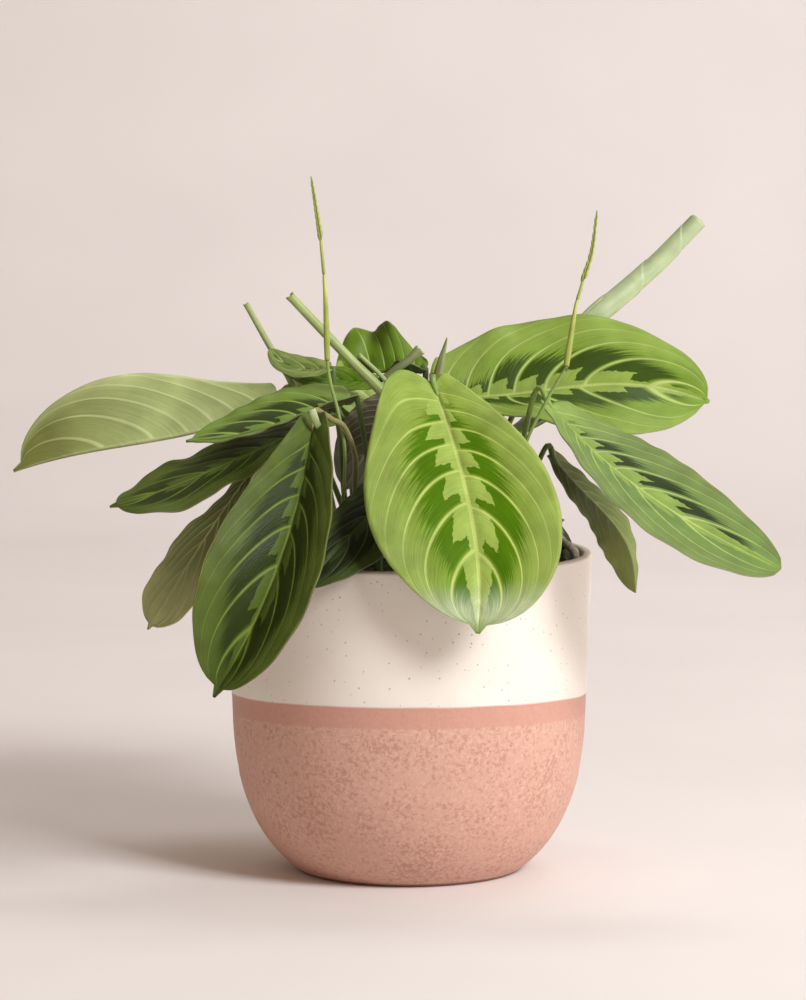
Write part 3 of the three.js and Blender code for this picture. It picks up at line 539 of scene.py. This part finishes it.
# Painted shade: a darker copy of the green stalk skin, for stalks that stand in the shade of the leaves
STALK_PAINTED_SHADE = stalk_skin("stalk_painted_shade", "36421C", "54662C", "65763A")
STALK_TAN = stalk_skin("stalk_tan", "4E5A2C", "948C58", "6E6C3C")
CUT_PALE = stalk_skin("stalk_pale", "6C8038", "94A560", "B6C68C")
SPIKE_YELLOW = stalk_skin("spike_bract", "9BA54B", "BDC06D", "92944A")
SHOOT_STRIPED = stalk_skin("young_sheath", "7C8C4C", "8A9560", "66603E")
BRACT_PALE = stalk_skin("bract_pale", "8A9A62", "B9C59A", "9CAA78")
SHEATH_OLIVE = stalk_skin("sheath_olive", "66744A", "94A06E", "76824E")
ROLL_PALE = stalk_skin("rolled_leaf_skin", "B2C095", "ADBB90", "A3B383")
GLAZE = stoneware()
SOIL_EARTH = earth("potting_mix", "1C200F", "3A3824", "2C3818", 420, 0.05)
BARK_EARTH = earth("bark_chips", "3C3424", "8C7E6C", "54552E", 300, 0.0)
MOSS_EARTH = earth("moss_lumps", "3A3A1E", "7C7448", "565C2A", 500, 0.12)
TWIG_EARTH = earth("twig_bark", "6A5F54", "A89C8E", "77705A", 350, -0.05)


# Making pieces
UV_LAYERS = ("blade", "veins")


def bezier(p, t):
    """The point at t of the curve with these four control points."""
    s = 1 - t
    return s**3 * p[0] + 3 * s * s * t * p[1] + 3 * s * t * t * p[2] + t**3 * p[3]


def smooth_line(points, count):
    """Evenly spaced points of the smooth curve through the given ones."""
    p = np.array(points, float)
    p = np.vstack([2 * p[0] - p[1], p, 2 * p[-1] - p[-2]])
    t = np.linspace(0, 1, 24, endpoint=False)[:, None]
    fine = []
    for a, b, c, d in zip(p, p[1:], p[2:], p[3:]):
        leaving, arriving = (c - a) / 2, (d - b) / 2
        fine.append((2 * t**3 - 3 * t**2 + 1) * b + (t**3 - 2 * t**2 + t) * leaving
                    + (3 * t**2 - 2 * t**3) * c + (t**3 - t**2) * arriving)
    fine = np.vstack(fine + [p[-2:-1]])
    run = np.concatenate([[0], np.cumsum(np.linalg.norm(np.diff(fine, axis=0), axis=1))])
    at = np.linspace(0, run[-1], count)
    return np.stack([np.interp(at, run, fine[:, k]) for k in range(3)], 1)


def line_frames(line):
    """Direction and two square directions at each point of a line, without twist."""
    ahead = np.gradient(line, axis=0)
    ahead /= np.linalg.norm(ahead, axis=1, keepdims=True)
    side = np.array([0.0, -1.0, 0.0])
    sides = []
    for direction in ahead:
        side = side - direction * (side @ direction)
        side /= np.linalg.norm(side)
        sides.append(side)
    sides = np.array(sides)
    return ahead, sides, np.cross(ahead, sides)


def round_line(frames, k, radius, angle):
    """How far off a line a point lies that is at a radius and an angle round its point k."""
    _, side, other = frames
    return side[k] * (radius * np.cos(angle))[:, None] - other[k] * (radius * np.sin(angle))[:, None]


def part_way(line, share):
    """The step of a line that a share of its length falls in, and the point there."""
    run = share * (len(line) - 1)
    k = np.minimum(np.floor(run).astype(int), len(line) - 2)
    w = (run - k)[:, None]
    return k, line[k] * (1 - w) + line[k + 1] * w


def sheet(cells, place, closed=False, marks=None):
    """A grid of cells moved by place(u, v), with u across and v along, both 0 to 1, in millimetres. Points on the
    line between the halves have marks of their own in each half."""
    bm = bmesh.new()
    bmesh.ops.create_grid(bm, x_segments=cells[0], y_segments=cells[1], size=0.5)
    bm.verts.index_update()
    u = np.array([vert.co.x + 0.5 for vert in bm.verts])
    v = np.array([vert.co.y + 0.5 for vert in bm.verts])
    halves = [marks(u, v, right) if marks else (u, v) for right in (False, True)]
    blade_uv, vein_uv = (bm.loops.layers.uv.new(layer) for layer in UV_LAYERS)
    for face in bm.faces:
        across, along = halves[face.calc_center_median().x > 0]
        for loop in face.loops:
            k = loop.vert.index
            loop[blade_uv].uv = (u[k], v[k])
            loop[vein_uv].uv = (across[k], along[k])
    for vert, point in zip(bm.verts, place(u, v)):
        vert.co = Vector(point) * MM
    if closed:
        bmesh.ops.remove_doubles(bm, verts=bm.verts, dist=2e-6)
    return bm


def tube(line, radii, sides=12, cap=True):
    """A closed tube round a line, with the radius at each of its points."""
    frames = line_frames(line)
    steps = len(line) - 1

    def place(u, v):
        k = np.rint(v * steps).astype(int)
        return line[k] + round_line(frames, k, radii[k], 2 * np.pi * u)

    bm = sheet((sides, steps), place, closed=True)
    if cap:
        bmesh.ops.holes_fill(bm, edges=[e for e in bm.edges if e.is_boundary])
    bmesh.ops.recalc_face_normals(bm, faces=bm.faces)
    return bm


def as_object(bm, name, materials):
    """A smooth object in the scene from a bmesh."""
    mesh = bpy.data.meshes.new(name)
    bm.to_mesh(mesh)
    bm.free()
    for material in materials:
        mesh.materials.append(material)
    mesh.shade_smooth()
    made = bpy.data.objects.new(name, mesh)
    bpy.context.collection.objects.link(made)
    return made


def finish_piece(bm, name, materials, node):
    """Turns a bmesh into a piece that rides on the object and stands for its node."""
    piece = as_object(bm, name, materials)
    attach(piece, "root")
    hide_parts(node)
    return piece


def merge(*parts):
    """One bmesh from several."""
    whole = bmesh.new()
    for layer in UV_LAYERS:
        whole.loops.layers.uv.new(layer)
    for part in parts:
        mesh = bpy.data.meshes.new("part")
        part.to_mesh(mesh)
        part.free()
        whole.from_mesh(mesh)
        bpy.data.meshes.remove(mesh)
    return whole


def thicken(piece, thickness, second=0):
    """Gives a sheet its thickness, the far side taking the second material."""
    solid = piece.modifiers.new("thickness", "SOLIDIFY")
    solid.thickness = thickness * MM
    solid.offset = 0
    solid.material_offset = second
    solid.material_offset_rim = second


# Leaves
def both(value):
    """The values of the left and right side, where one may stand for both."""
    return np.broadcast_to(value, 2)


def width_share(t, belly, end):
    """Half the width at t along a blade, as a share of its widest."""
    k = math.log(0.5) / math.log(belly)
    s = 0.07 + 0.93 * np.clip(t / end, 0, 1)
    body = np.sin(np.pi * s**k).clip(0) ** 0.5
    point = 0.02 + 0.16 * np.clip((1 - t) / 0.07, 0, 1)
    return np.where(t > 0.9, np.maximum(body, point), body)


def midrib(leaf, t):
    """Points and directions of the midrib."""
    p = np.array(leaf["rib"], float)
    a, d = p[0], p[3]
    b = (-5 * p[0] + 18 * p[1] - 9 * p[2] + 2 * p[3]) / 6
    c = (2 * p[0] - 9 * p[1] + 18 * p[2] - 5 * p[3]) / 6
    t = np.asarray(t, float)[..., None]
    s = 1 - t
    point = bezier((a, b, c, d), t)
    ahead = 3 * s * s * (b - a) + 6 * s * t * (c - b) + 3 * t * t * (d - c)
    return point, ahead / np.linalg.norm(ahead, axis=-1, keepdims=True)


def blade_surface(leaf, t, v):
    """The blade's middle surface: t from base to tip, v from -1 at the left edge to 1 at the right."""
    point, ahead = midrib(leaf, t)
    f = [face / np.linalg.norm(face) for face in np.broadcast_to(leaf["face"], (3, 3))]
    s = t[:, None]
    up = (1 - s)**2 * f[0] + 2 * s * (1 - s) * f[1] + s * s * f[2]
    up -= (up * ahead).sum(1, keepdims=True) * ahead
    up /= np.linalg.norm(up, axis=1, keepdims=True)
    across = np.cross(ahead, up)
    left = v < 0
    far = abs(v)
    share = np.where(left, *(half * width_share(t, belly, leaf.get("end", 0.97))
                             for half, belly in zip(both(leaf["half"]), both(leaf["belly"]))))
    folds = np.broadcast_to(leaf["fold"], (2, 2))
    fold = np.radians(np.where(left, *(base + (tip - base) * t for base, tip in folds)))
    height, waves, phase = leaf.get("wave", (0, 1, 0))
    swing = np.sin(2 * np.pi * (waves * t + phase + np.where(left, 0.37, 0)))
    wave = height * v * v * swing * np.sqrt(np.sin(np.pi * np.clip(t, 0, 1)).clip(0))
    lobe = np.where(left, *both(leaf["lobe"]))
    back = lobe * np.clip(1 - t / 0.2, 0, 1)**1.5 * np.sin(0.75 * np.pi * far)
    return (point + across * (share * far * np.cos(fold) * np.sign(v))[:, None]
            + up * (share * far * np.sin(fold) + wave)[:, None] - ahead * back[:, None])


@functools.lru_cache
def vein_starts(lean, bend):
    """Where the vein through a point left the midrib, as a table over steps across and along the blade. A vein
    leaves the midrib almost squarely, bends and then follows the margin towards the tip, later ones sooner."""
    start = np.linspace(0, 1, 4 * VEIN_STEPS + 1)
    along = np.linspace(0, 1, VEIN_STEPS + 1)
    rows = []
    for far in along:
        shift = bend * (1 - (1 - start)**6) * far**(1.5 + 6.5 * (1 - start)**4) + lean * far
        rows.append(np.interp(along, start + shift, start))
    return np.array(rows)


def between(table, across, along):
    """The value of a table between its steps."""
    x, y = np.clip(across, 0, 1) * VEIN_STEPS, np.clip(along, 0, 1) * VEIN_STEPS
    i, j = np.minimum(x.astype(int), VEIN_STEPS - 1), np.minimum(y.astype(int), VEIN_STEPS - 1)
    x, y = x - i, y - j
    return ((1 - x) * ((1 - y) * table[i, j] + y * table[i, j + 1])
            + x * ((1 - y) * table[i + 1, j] + y * table[i + 1, j + 1]))


def vein_count(leaf, t, far, right):
    """Which side vein passes here. The left and right veins meet in pairs only near the tip."""
    left_table, right_table = (vein_starts(lean, leaf.get("bend", VEIN_BEND)) for lean in both(leaf["lean"]))
    left_over = 1 - np.where(right, between(right_table, far, t), between(left_table, far, t))
    return 3.05 + leaf["veins"] * (1 - left_over**2) - np.where(right, 0, 0.5 * left_over**2)


def blade_relief(leaf, t, v):
    """Height above the middle surface: puffed between the veins, sunk at the midrib, a small ripple."""
    far = abs(v)
    puff = abs(np.sin(np.pi * vein_count(leaf, t, far, v > 0)))**0.8
    fades = np.clip((0.97 - far) / 0.2, 0, 1) * np.clip(far / 0.1, 0, 1)
    fades *= np.clip(t / 0.08, 0, 1) * np.clip((1 - t) / 0.08, 0, 1)
    ripple = 0.35 * far**4 * np.sin(2 * np.pi * leaf["veins"] * t + 3 * leaf["foot"][0] + 2 * (v > 0))
    return 0.4 * puff * fades - 0.35 * np.exp(-(far / 0.05)**2) + ripple * np.clip((1 - t) / 0.1, 0, 1)


def leaf_blade(name, leaf):
    """A blade as a thin sheet with its relief, patterned above and plain below."""
    step = 1e-3

    def normals(t, v, inward):
        onward = np.where(t > 0.99, -step, step)
        here = blade_surface(leaf, t, v)
        sideways = (blade_surface(leaf, t, v + inward) - here) * np.sign(inward)[:, None]
        forward = (blade_surface(leaf, t + onward, v) - here) * np.sign(onward)[:, None]
        normal = np.cross(sideways, forward)
        return normal / np.linalg.norm(normal, axis=1, keepdims=True)

    def place(u, t):
        v = 2 * u - 1
        normal = normals(t, v, np.where(v > step, -step, step))
        folded = normal + normals(t, v, np.full_like(v, -step))
        folded /= np.linalg.norm(folded, axis=1, keepdims=True)
        normal = np.where((abs(v) < step)[:, None], folded, normal)
        return blade_surface(leaf, t, v) + normal * blade_relief(leaf, t, v)[:, None]

    def marks(x, y, right):
        far = abs(2 * x - 1)
        return vein_count(leaf, y, far, right), far

    piece = finish_piece(sheet(BLADE_CELLS, place, marks=marks), name + "_blade",
                         [UPPER[leaf["look"]], UNDER[leaf["look"]]], name)
    thicken(piece, BLADE_THICKNESS, 1)


def rooted(foot, rest):
    """A stem's points: upright in its hole, then on through the rest."""
    return [*((*foot, SOIL_LEVEL + z) for z in (-ROOT_DEPTH, 0, UPRIGHT / 2, UPRIGHT)), *rest]


def leaf_stalk(name, leaf):
    """The stalk of a leaf, with the swollen joint where it meets the blade."""
    base, ahead = (value[0] for value in midrib(leaf, [0.0]))
    before = base - leaf["neck"] * ahead
    inside = midrib(leaf, [0.05])[0][0]
    foot = np.array([*leaf["foot"], SOIL_LEVEL])
    middle = foot + (before - foot) * (0.4, 0.4, 0.55)
    line = smooth_line(rooted(leaf["foot"], [*leaf.get("via", [middle]), before, base, inside]), 70)
    at = np.linspace(0, 1, len(line))
    radii = STALK_RADIUS * (1.05 - 0.2 * at)
    length = np.linalg.norm(np.diff(line, axis=0), axis=1).sum()
    from_blade = (1 - at) * length
    radii += 0.28 * np.exp(-((from_blade - 7) / 3.5)**2)
    radii *= np.clip(0.25 + from_blade / 3, 0.25, 1)
    look = STALK_TAN if name == "leaf_front_left" else STALK_PAINTED_SHADE if name in SHADED_STALKS else STALK_GREEN
    finish_piece(tube(line, radii), name + "_stalk", [look], name)


for name, leaf in LEAVES.items():
    leaf_blade(name, leaf)
    leaf_stalk(name, leaf)


# Cut stalks, rolled leaf, shoot and flower spikes
def cut_stalk(name, stalk):
    """A stalk cut off short: a pale tube, thinner towards its torn hollow end."""
    rng = random.Random(name)
    line = smooth_line(rooted(stalk["foot"], [*stalk["via"], stalk["end"]]), 80)
    radius = stalk["radius"]
    radii = np.interp(np.linspace(0, 1, len(line)), [0, 0.5, 1], [radius, radius, stalk["tip"]])
    radii *= 1 + 0.02 * np.sin(np.linspace(0, 21, len(line)))
    skin = tube(line, radii, 18, cap=False)
    ahead = Vector(line_frames(line)[0][-1])
    end = Vector(line[-1]) * MM
    rim = [v for v in skin.verts if (v.co - end).length < stalk["tip"] * 1.1 * MM]
    for vert in rim:
        vert.co += ahead * rng.uniform(-0.9, 0.25) * MM + (vert.co - end) * 0.12
    # The wall's thickness, and then the hollow
    edges = [e for e in skin.edges if e.is_boundary and all(v in rim for v in e.verts)]
    for narrower, deeper in ((0.35, 0), (0.3, 1.2)):
        added = bmesh.ops.extrude_edge_only(skin, edges=edges)["geom"]
        edges = [e for e in added if isinstance(e, bmesh.types.BMEdge)]
        for vert in [v for v in added if isinstance(v, bmesh.types.BMVert)]:
            vert.co += (end - vert.co) * narrower - ahead * deeper * MM
    bmesh.ops.holes_fill(skin, edges=[e for e in skin.edges if e.is_boundary])
    bmesh.ops.recalc_face_normals(skin, faces=skin.faces)
    finish_piece(skin, name + "_tube", [CUT_PALE], name)


def rolled_sheet(line, radii, turns, overlap_slope, cells, start=0.0):
    """A sheet rolled into a tube round a line: its outer edge steps back along the roll."""
    frames = line_frames(line)

    def place(u, v):
        k, centre = part_way(line, np.clip(v - overlap_slope * np.clip(u - 0.55, 0, 1) * v, 0, 1))
        radius = np.interp(v, np.linspace(0, 1, len(radii)), radii) * (0.8 + 0.2 * u)
        return centre + round_line(frames, k, radius, start + 2 * np.pi * turns * u)

    return sheet(cells, place)


def plain_stem(name, points, count, material):
    """An even stem, from the soil on through the points."""
    line = smooth_line(points, count)
    finish_piece(tube(line, np.full(count, STEM_RADIUS)), name + "_stalk", [material], name)


def rolled_leaf():
    """A new leaf still rolled up. Towards its tip it has fewer turns, so its edge winds up the roll in steps."""
    above = [*ROLLED_LEAF["via"], *ROLLED_LEAF["roll"][:2]]
    plain_stem("rolled_leaf", rooted(ROLLED_LEAF["foot"], above), 60, STALK_GREEN)
    line = smooth_line(ROLLED_LEAF["roll"], 71)
    frames = line_frames(line)

    def place(u, v):
        k = np.rint(v * 70).astype(int)
        turns = np.minimum(3.2 * u, np.clip(1.1 + 3.65 * (0.934 - v), 1.1, 3.2))
        angle = math.radians(234) + 2 * np.pi * turns
        radius = (3.4 + 0.42 * turns) * np.interp(v, [0, 0.1, 0.3, 1], [0.4, 0.75, 1, 0.98])
        return line[k] + round_line(frames, k, radius, -angle)

    roll = sheet((120, 70), place)
    bmesh.ops.remove_doubles(roll, verts=roll.verts, dist=0.01 * MM)
    bmesh.ops.dissolve_degenerate(roll, edges=roll.edges, dist=0.01 * MM)
    piece = finish_piece(roll, "rolled_leaf_roll", [ROLL_PALE], "rolled_leaf")
    thicken(piece, 0.3)


def young_shoot():
    """A pointed young sheath, two edges wrapped over each other."""
    plain_stem("young_shoot", rooted(YOUNG_SHOOT["foot"], YOUNG_SHOOT["roll"][:2]), 50, STALK_TAN)
    line = smooth_line(YOUNG_SHOOT["roll"], 50)
    roll = rolled_sheet(line, [1.7, 2.5, 3.2, 3.2, 2.6, 1.5, 0.15], 1.3, 0.12, (30, 50), start=1.0)
    piece = finish_piece(roll, "young_shoot_sheath", [SHOOT_STRIPED], "young_shoot")
    thicken(piece, 0.3)


def gutter(points, widths, bend, name, material, node):
    """A thin curled strip along a line, as wide across as given at even steps, bent round by so many degrees."""
    line = smooth_line(points, 41)
    frames = line_frames(line)
    rng = random.Random(name)
    ragged = [rng.uniform(0, 0.05) for _ in range(13)]

    def place(u, v):
        k, centre = part_way(line, v * (1 - np.interp(u, np.linspace(0, 1, len(ragged)), ragged) * v**6))
        radius = np.interp(v, np.linspace(0, 1, len(widths)), widths) / 2
        return centre + round_line(frames, k, radius, math.radians(bend) * (0.5 - u))

    thicken(finish_piece(sheet((12, 40), place), name, [material], node), 0.25)


def bract(base, ahead, out, length, width, flare):
    """A small pointed scale that hugs its stem and stands off a little at the tip."""
    side = np.cross(ahead, out)

    def place(u, v):
        angle = (u - 0.5) * 2.6
        reach = width * np.sin(np.pi * (0.18 + 0.82 * v)).clip(0)**0.7
        lift = flare * v**2 + 0.1
        return (base + ahead * (length * v)[:, None]
                + out * (reach * np.cos(angle) + lift)[:, None] + side * (reach * np.sin(angle))[:, None])

    return sheet((6, 8), place)


def flower_stalk(name, stalk):
    """A thin flowering stem with a long green sheath and a spike of small scales one over the other."""
    stem = smooth_line(rooted(stalk["foot"], [*stalk["stem"], stalk["sheath"][0]]), 90)
    upper = smooth_line([stalk["stem"][3], *stalk["sheath"], *stalk["top"], *stalk["spike"]], 80)
    thin = tube(stem, np.full(len(stem), 0.72), 10)
    fine = tube(upper, np.linspace(0.7, 0.3, len(upper)), 8)
    finish_piece(merge(thin, fine), name + "_stem", [STALK_GREEN], name)
    wrap = smooth_line([*stalk["sheath"], stalk["top"][0]], 30)
    neck = smooth_line([*stalk["top"], stalk["spike"][0]], 20)
    scales = [rolled_sheet(wrap, [1.15, 1.3, 1.2, 1.05, 0.85, 0.6], 1.2, 0.2, (16, 30), start=2.0),
              rolled_sheet(neck, [0.65, 0.62, 0.6, 0.6], 1.2, 0.2, (12, 16), start=0.5)]
    line = smooth_line(stalk["spike"], 61)
    ahead = line_frames(line)[0]
    for k in range(SPIKE_SCALES):
        at = round(k * 56 / SPIKE_SCALES)
        onward = ahead[at]
        out = np.array([1.0 if k % 2 else -1.0, -0.3, 0])
        out -= onward * (out @ onward)
        out /= np.linalg.norm(out)
        taper = 1 - 0.62 * k / SPIKE_SCALES
        scales.append(bract(line[at] - onward * 0.6, onward, out, 2.6 * taper + 1.8, 0.95 * taper, 0.35 * taper))
    piece = finish_piece(merge(*scales), name + "_scales", [SPIKE_YELLOW], name)
    thicken(piece, 0.16)


for name, stalk in CUT_STALKS.items():
    cut_stalk(name, stalk)
rolled_leaf()
young_shoot()
for name, stalk in FLOWER_STALKS.items():
    flower_stalk(name, stalk)
gutter([(-11, 17, 203), (-5.5, 18, 207), (0, 19, 211), (5, 20, 215.5)], [2.4, 3.4, 3.2, 4.8], 150,
       "wavy_leaf_sheath", SHEATH_OLIVE, "leaf_top_wavy")
gutter([(-35.5, -62.5, 188.5), (-37.3, -63, 192.5), (-38.8, -62.5, 197)], [2, 4.4, 5, 5.2, 4.2], 70,
       "arch_bract", BRACT_PALE, "leaf_front_left")


# Pot and soil
def outer_radius(z):
    """The pot's outside at a height: a round bowl, then an almost straight upper half."""
    if z >= BELLY_HEIGHT:
        return BOWL_RADIUS + (RIM_RADIUS - BOWL_RADIUS) * (z - BELLY_HEIGHT) / (POT_HEIGHT - BELLY_HEIGHT)
    radii, heights = zip(*BOWL_CURVE)
    low, high = 0.0, 1.0
    for _ in range(30):
        t = (low + high) / 2
        low, high = (t, high) if bezier(heights, t) < z else (low, t)
    return bezier(radii, low)


def turned(profile, steps):
    """A closed shape turned from a profile of (radius, height) that starts and ends on the axis."""
    bm = bmesh.new()
    verts = [bm.verts.new((r * MM, 0, z * MM)) for r, z in profile]
    edges = [bm.edges.new(pair) for pair in zip(verts, verts[1:])]
    bmesh.ops.spin(bm, geom=verts + edges, cent=(0, 0, 0), axis=(0, 0, 1), angle=2 * math.pi, steps=steps,
                   use_merge=True)
    bmesh.ops.remove_doubles(bm, verts=bm.verts, dist=1e-6)
    for layer in UV_LAYERS:
        bm.loops.layers.uv.new(layer)
    bmesh.ops.recalc_face_normals(bm, faces=bm.faces)
    return bm


def make_pot():
    """The pot: thrown bowl, rounded lip, and the cream glaze lying a hair proud of the pink."""
    heights = [0.8, 1.6, 3, 5, 7.5, 10, *range(13, 62, 3), *range(62, 86), *range(88, 130, 4), 131.2]
    outside = [(outer_radius(z), z) for z in heights]
    lip = [(RIM_RADIUS - WALL / 2 + WALL / 2 * math.cos(a), POT_HEIGHT - 1.6 + 1.6 * math.sin(a))
           for a in (math.radians(d) for d in range(15, 180, 15))]
    inside = [(outer_radius(z) - WALL, z) for z in (131, 125, 118, 100, 80, 60, 40, 25, 14, 9)]
    profile = [(0, 0.6), (38, 0.6), (40, 0), (FOOT_RADIUS - 0.3, 0), (FOOT_RADIUS + 0.5, 0.35),
               *outside, *lip, *inside, (outer_radius(FLOOR_THICKNESS) - WALL - 3, FLOOR_THICKNESS),
               (0, FLOOR_THICKNESS)]
    bm = turned(profile, 144)
    for vert in bm.verts:
        x, y, z = vert.co / MM
        radius = math.hypot(x, y)
        if radius < 1 or z < 40 or z > 100 or radius < outer_radius(z) - 1:
            continue
        above = z + GLAZE_SLOPE * y - GLAZE_LINE
        proud = GLAZE_PROUD / (1 + math.exp(-above / 0.35))
        vert.co.x *= 1 + (proud - GLAZE_PROUD) / radius
        vert.co.y *= 1 + (proud - GLAZE_PROUD) / radius
    finish_piece(bm, "pot_body", [GLAZE], "pot")


def soil_height(x, y):
    """The soil's surface with its heap against the back right of the rim."""
    hx, hy, height, spread = HEAP
    heap = height * math.exp(-((x - hx)**2 + (y - hy)**2) / (2 * spread**2))
    lumps = math.sin(0.31 * x + 1.3) * math.cos(0.27 * y - 0.6) + 0.6 * math.sin(0.53 * x - 0.47 * y)
    return SOIL_LEVEL + heap + 1.1 * lumps


def crumbs(x, y):
    """Fine roughness of the mix, in millimetres."""
    return 0.9 * noise.noise(Vector((x / 5, y / 5, 0))) + 0.6 * noise.noise(Vector((x / 2, y / 2, 7)))


def make_soil():
    """The potting mix: a block that fills the pot, its top crumbly."""
    inset = WALL + SOIL_INSET
    wall = outer_radius(SOIL_LEVEL) - inset
    side = [(outer_radius(z) - inset, z) for z in (8, 14, 22, 31, 43, 62, 100)]
    top = [(wall * s, SOIL_LEVEL) for s in np.linspace(1, 0.015, 52)]
    bottom = (outer_radius(FLOOR_THICKNESS) - inset - 3, FLOOR_THICKNESS + 0.3)
    bm = turned([(0, bottom[1]), bottom, *side, *top, (0, SOIL_LEVEL)], 128)
    for vert in bm.verts:
        x, y, z = vert.co / MM
        if z > SOIL_LEVEL - 0.01:
            vert.co.z = (soil_height(x, y) + crumbs(x, y)) * MM
    finish_piece(bm, "soil_mix", [SOIL_EARTH], "soil")


def lump(rng, x, y, size, stretch):
    """One crumb of bark or moss, knobbly and a little flat, sitting in the surface."""
    bm = bmesh.new()
    bmesh.ops.create_icosphere(bm, subdivisions=1, radius=1)
    bmesh.ops.subdivide_edges(bm, edges=[e for e in bm.edges if rng.random() < 0.12], cuts=1)
    bmesh.ops.triangulate(bm, faces=bm.faces)
    for vert in bm.verts:
        vert.co *= 1 + 0.45 * noise.noise(vert.co * 1.3 + Vector((x, y, size)))
    turn = Vector((rng.uniform(-1, 1), rng.uniform(-1, 1), rng.uniform(-0.4, 0.4))).to_track_quat("X", "Z")
    for vert in bm.verts:
        shaped = Vector((vert.co.x * stretch, vert.co.y, vert.co.z * 0.7)) * size
        shaped.rotate(turn)
        vert.co = (shaped + Vector((x, y, soil_height(x, y) + 0.25 * size))) * MM
    return bm


def scatter(name, seed, count, spot, sizes, stretches, material):
    """Many lumps as one piece, each at a spot drawn from the seed."""
    rng = random.Random(seed)
    lumps = []
    while len(lumps) < count:
        x, y = spot(rng)
        size = rng.uniform(*sizes)
        if math.hypot(x, y) > RIM_RADIUS - WALL - 1.4 - size * stretches[1]:
            continue
        lumps.append(lump(rng, x, y, size, rng.uniform(*stretches)))
    finish_piece(merge(*lumps), name, [material], "soil")


def anywhere(rng):
    """A spot on the whole surface."""
    radius, angle = 70 * math.sqrt(rng.random()), rng.uniform(0, 2 * math.pi)
    return radius * math.cos(angle), radius * math.sin(angle)


def on_heap(rng):
    """A spot on or near the heap."""
    return HEAP[0] + rng.gauss(-4, 11), HEAP[1] + rng.gauss(0, 13)


def twig():
    """A grey root that lies along the inside of the rim in front of the heap."""
    line = smooth_line([(48, 26, 136), (58, 21, 137.5), (64, 15, 135.5), (68.5, 6, 132), (70.3, -4, 128)], 40)
    radii = 1.7 + 0.25 * np.sin(np.linspace(0, 19, 40)) + 0.12 * np.sin(np.linspace(1, 43, 40))
    radii[-3:] *= [0.9, 0.7, 0.4]
    finish_piece(tube(line, radii, 14), "soil_root", [TWIG_EARTH], "soil")


make_pot()
make_soil()
scatter("soil_chips", 11, 330, anywhere, (0.8, 2.2), (1.0, 2.0), SOIL_EARTH)
scatter("soil_bark", 12, 150, on_heap, (1.4, 3.0), (1.0, 1.9), BARK_EARTH)
scatter("soil_moss", 13, 130, on_heap, (1.2, 2.6), (0.9, 1.3), MOSS_EARTH)
twig()


# Floor and light
def make_floor():
    """A pale surface that curves up behind into a plain backdrop."""
    bm = bmesh.new()
    bend = [(-2.6, 0), (1.2, 0)]
    bend += [(1.2 + 0.8 * math.sin(a), 0.8 - 0.8 * math.cos(a)) for a in (math.radians(d) for d in range(6, 91, 6))]
    bend += [(2.0, 4.0)]
    verts = [bm.verts.new((-4, y, z)) for y, z in bend]
    edges = [bm.edges.new(pair) for pair in zip(verts, verts[1:])]
    swept = bmesh.ops.extrude_edge_only(bm, edges=edges)["geom"]
    bmesh.ops.translate(bm, verts=[v for v in swept if isinstance(v, bmesh.types.BMVert)], vec=(8, 0, 0))
    bmesh.ops.recalc_face_normals(bm, faces=bm.faces)
    floor = as_object(bm, "floor", [plaster()])


def area_light(name, place, aim, size, power, tint):
    """A soft square light that looks at a point."""
    data = bpy.data.lights.new(name, "AREA")
    data.shape = "SQUARE"
    data.size = size
    data.energy = power
    data.color = colour(tint)[:3]
    light = bpy.data.objects.new(name, data)
    light.location = place
    light.rotation_euler = (Vector(aim) - Vector(place)).to_track_quat("-Z", "Y").to_euler()
    bpy.context.collection.objects.link(light)


make_floor()
area_light("window", (1.31, -1.34, 1.34), (0, 0, 0.12), 0.75, 51, "FBFDFF")
area_light("fill", (-0.95, -2.2, 0.5), (0, 0, 0.15), 0.6, 2.5, "FFFFFF")
area_light("side_bounce", (1.5, 0.25, 0.3), (0, 0, 0.08), 0.8, 6, "FFF8F2")
area_light("wall_wash", (0.7, 0.9, 2.4), (0.5, 2, 0.7), 1.2, 24, "F6F8FF")
room = bpy.data.worlds.new("room")
room.use_nodes = True
room_light = room.node_tree.nodes["Background"].inputs
room_light["Color"].default_value = colour("FFDFBE")
room_light["Strength"].default_value = 0.28
bpy.context.scene.world = room
bpy.context.scene.view_settings.view_transform = "Standard"
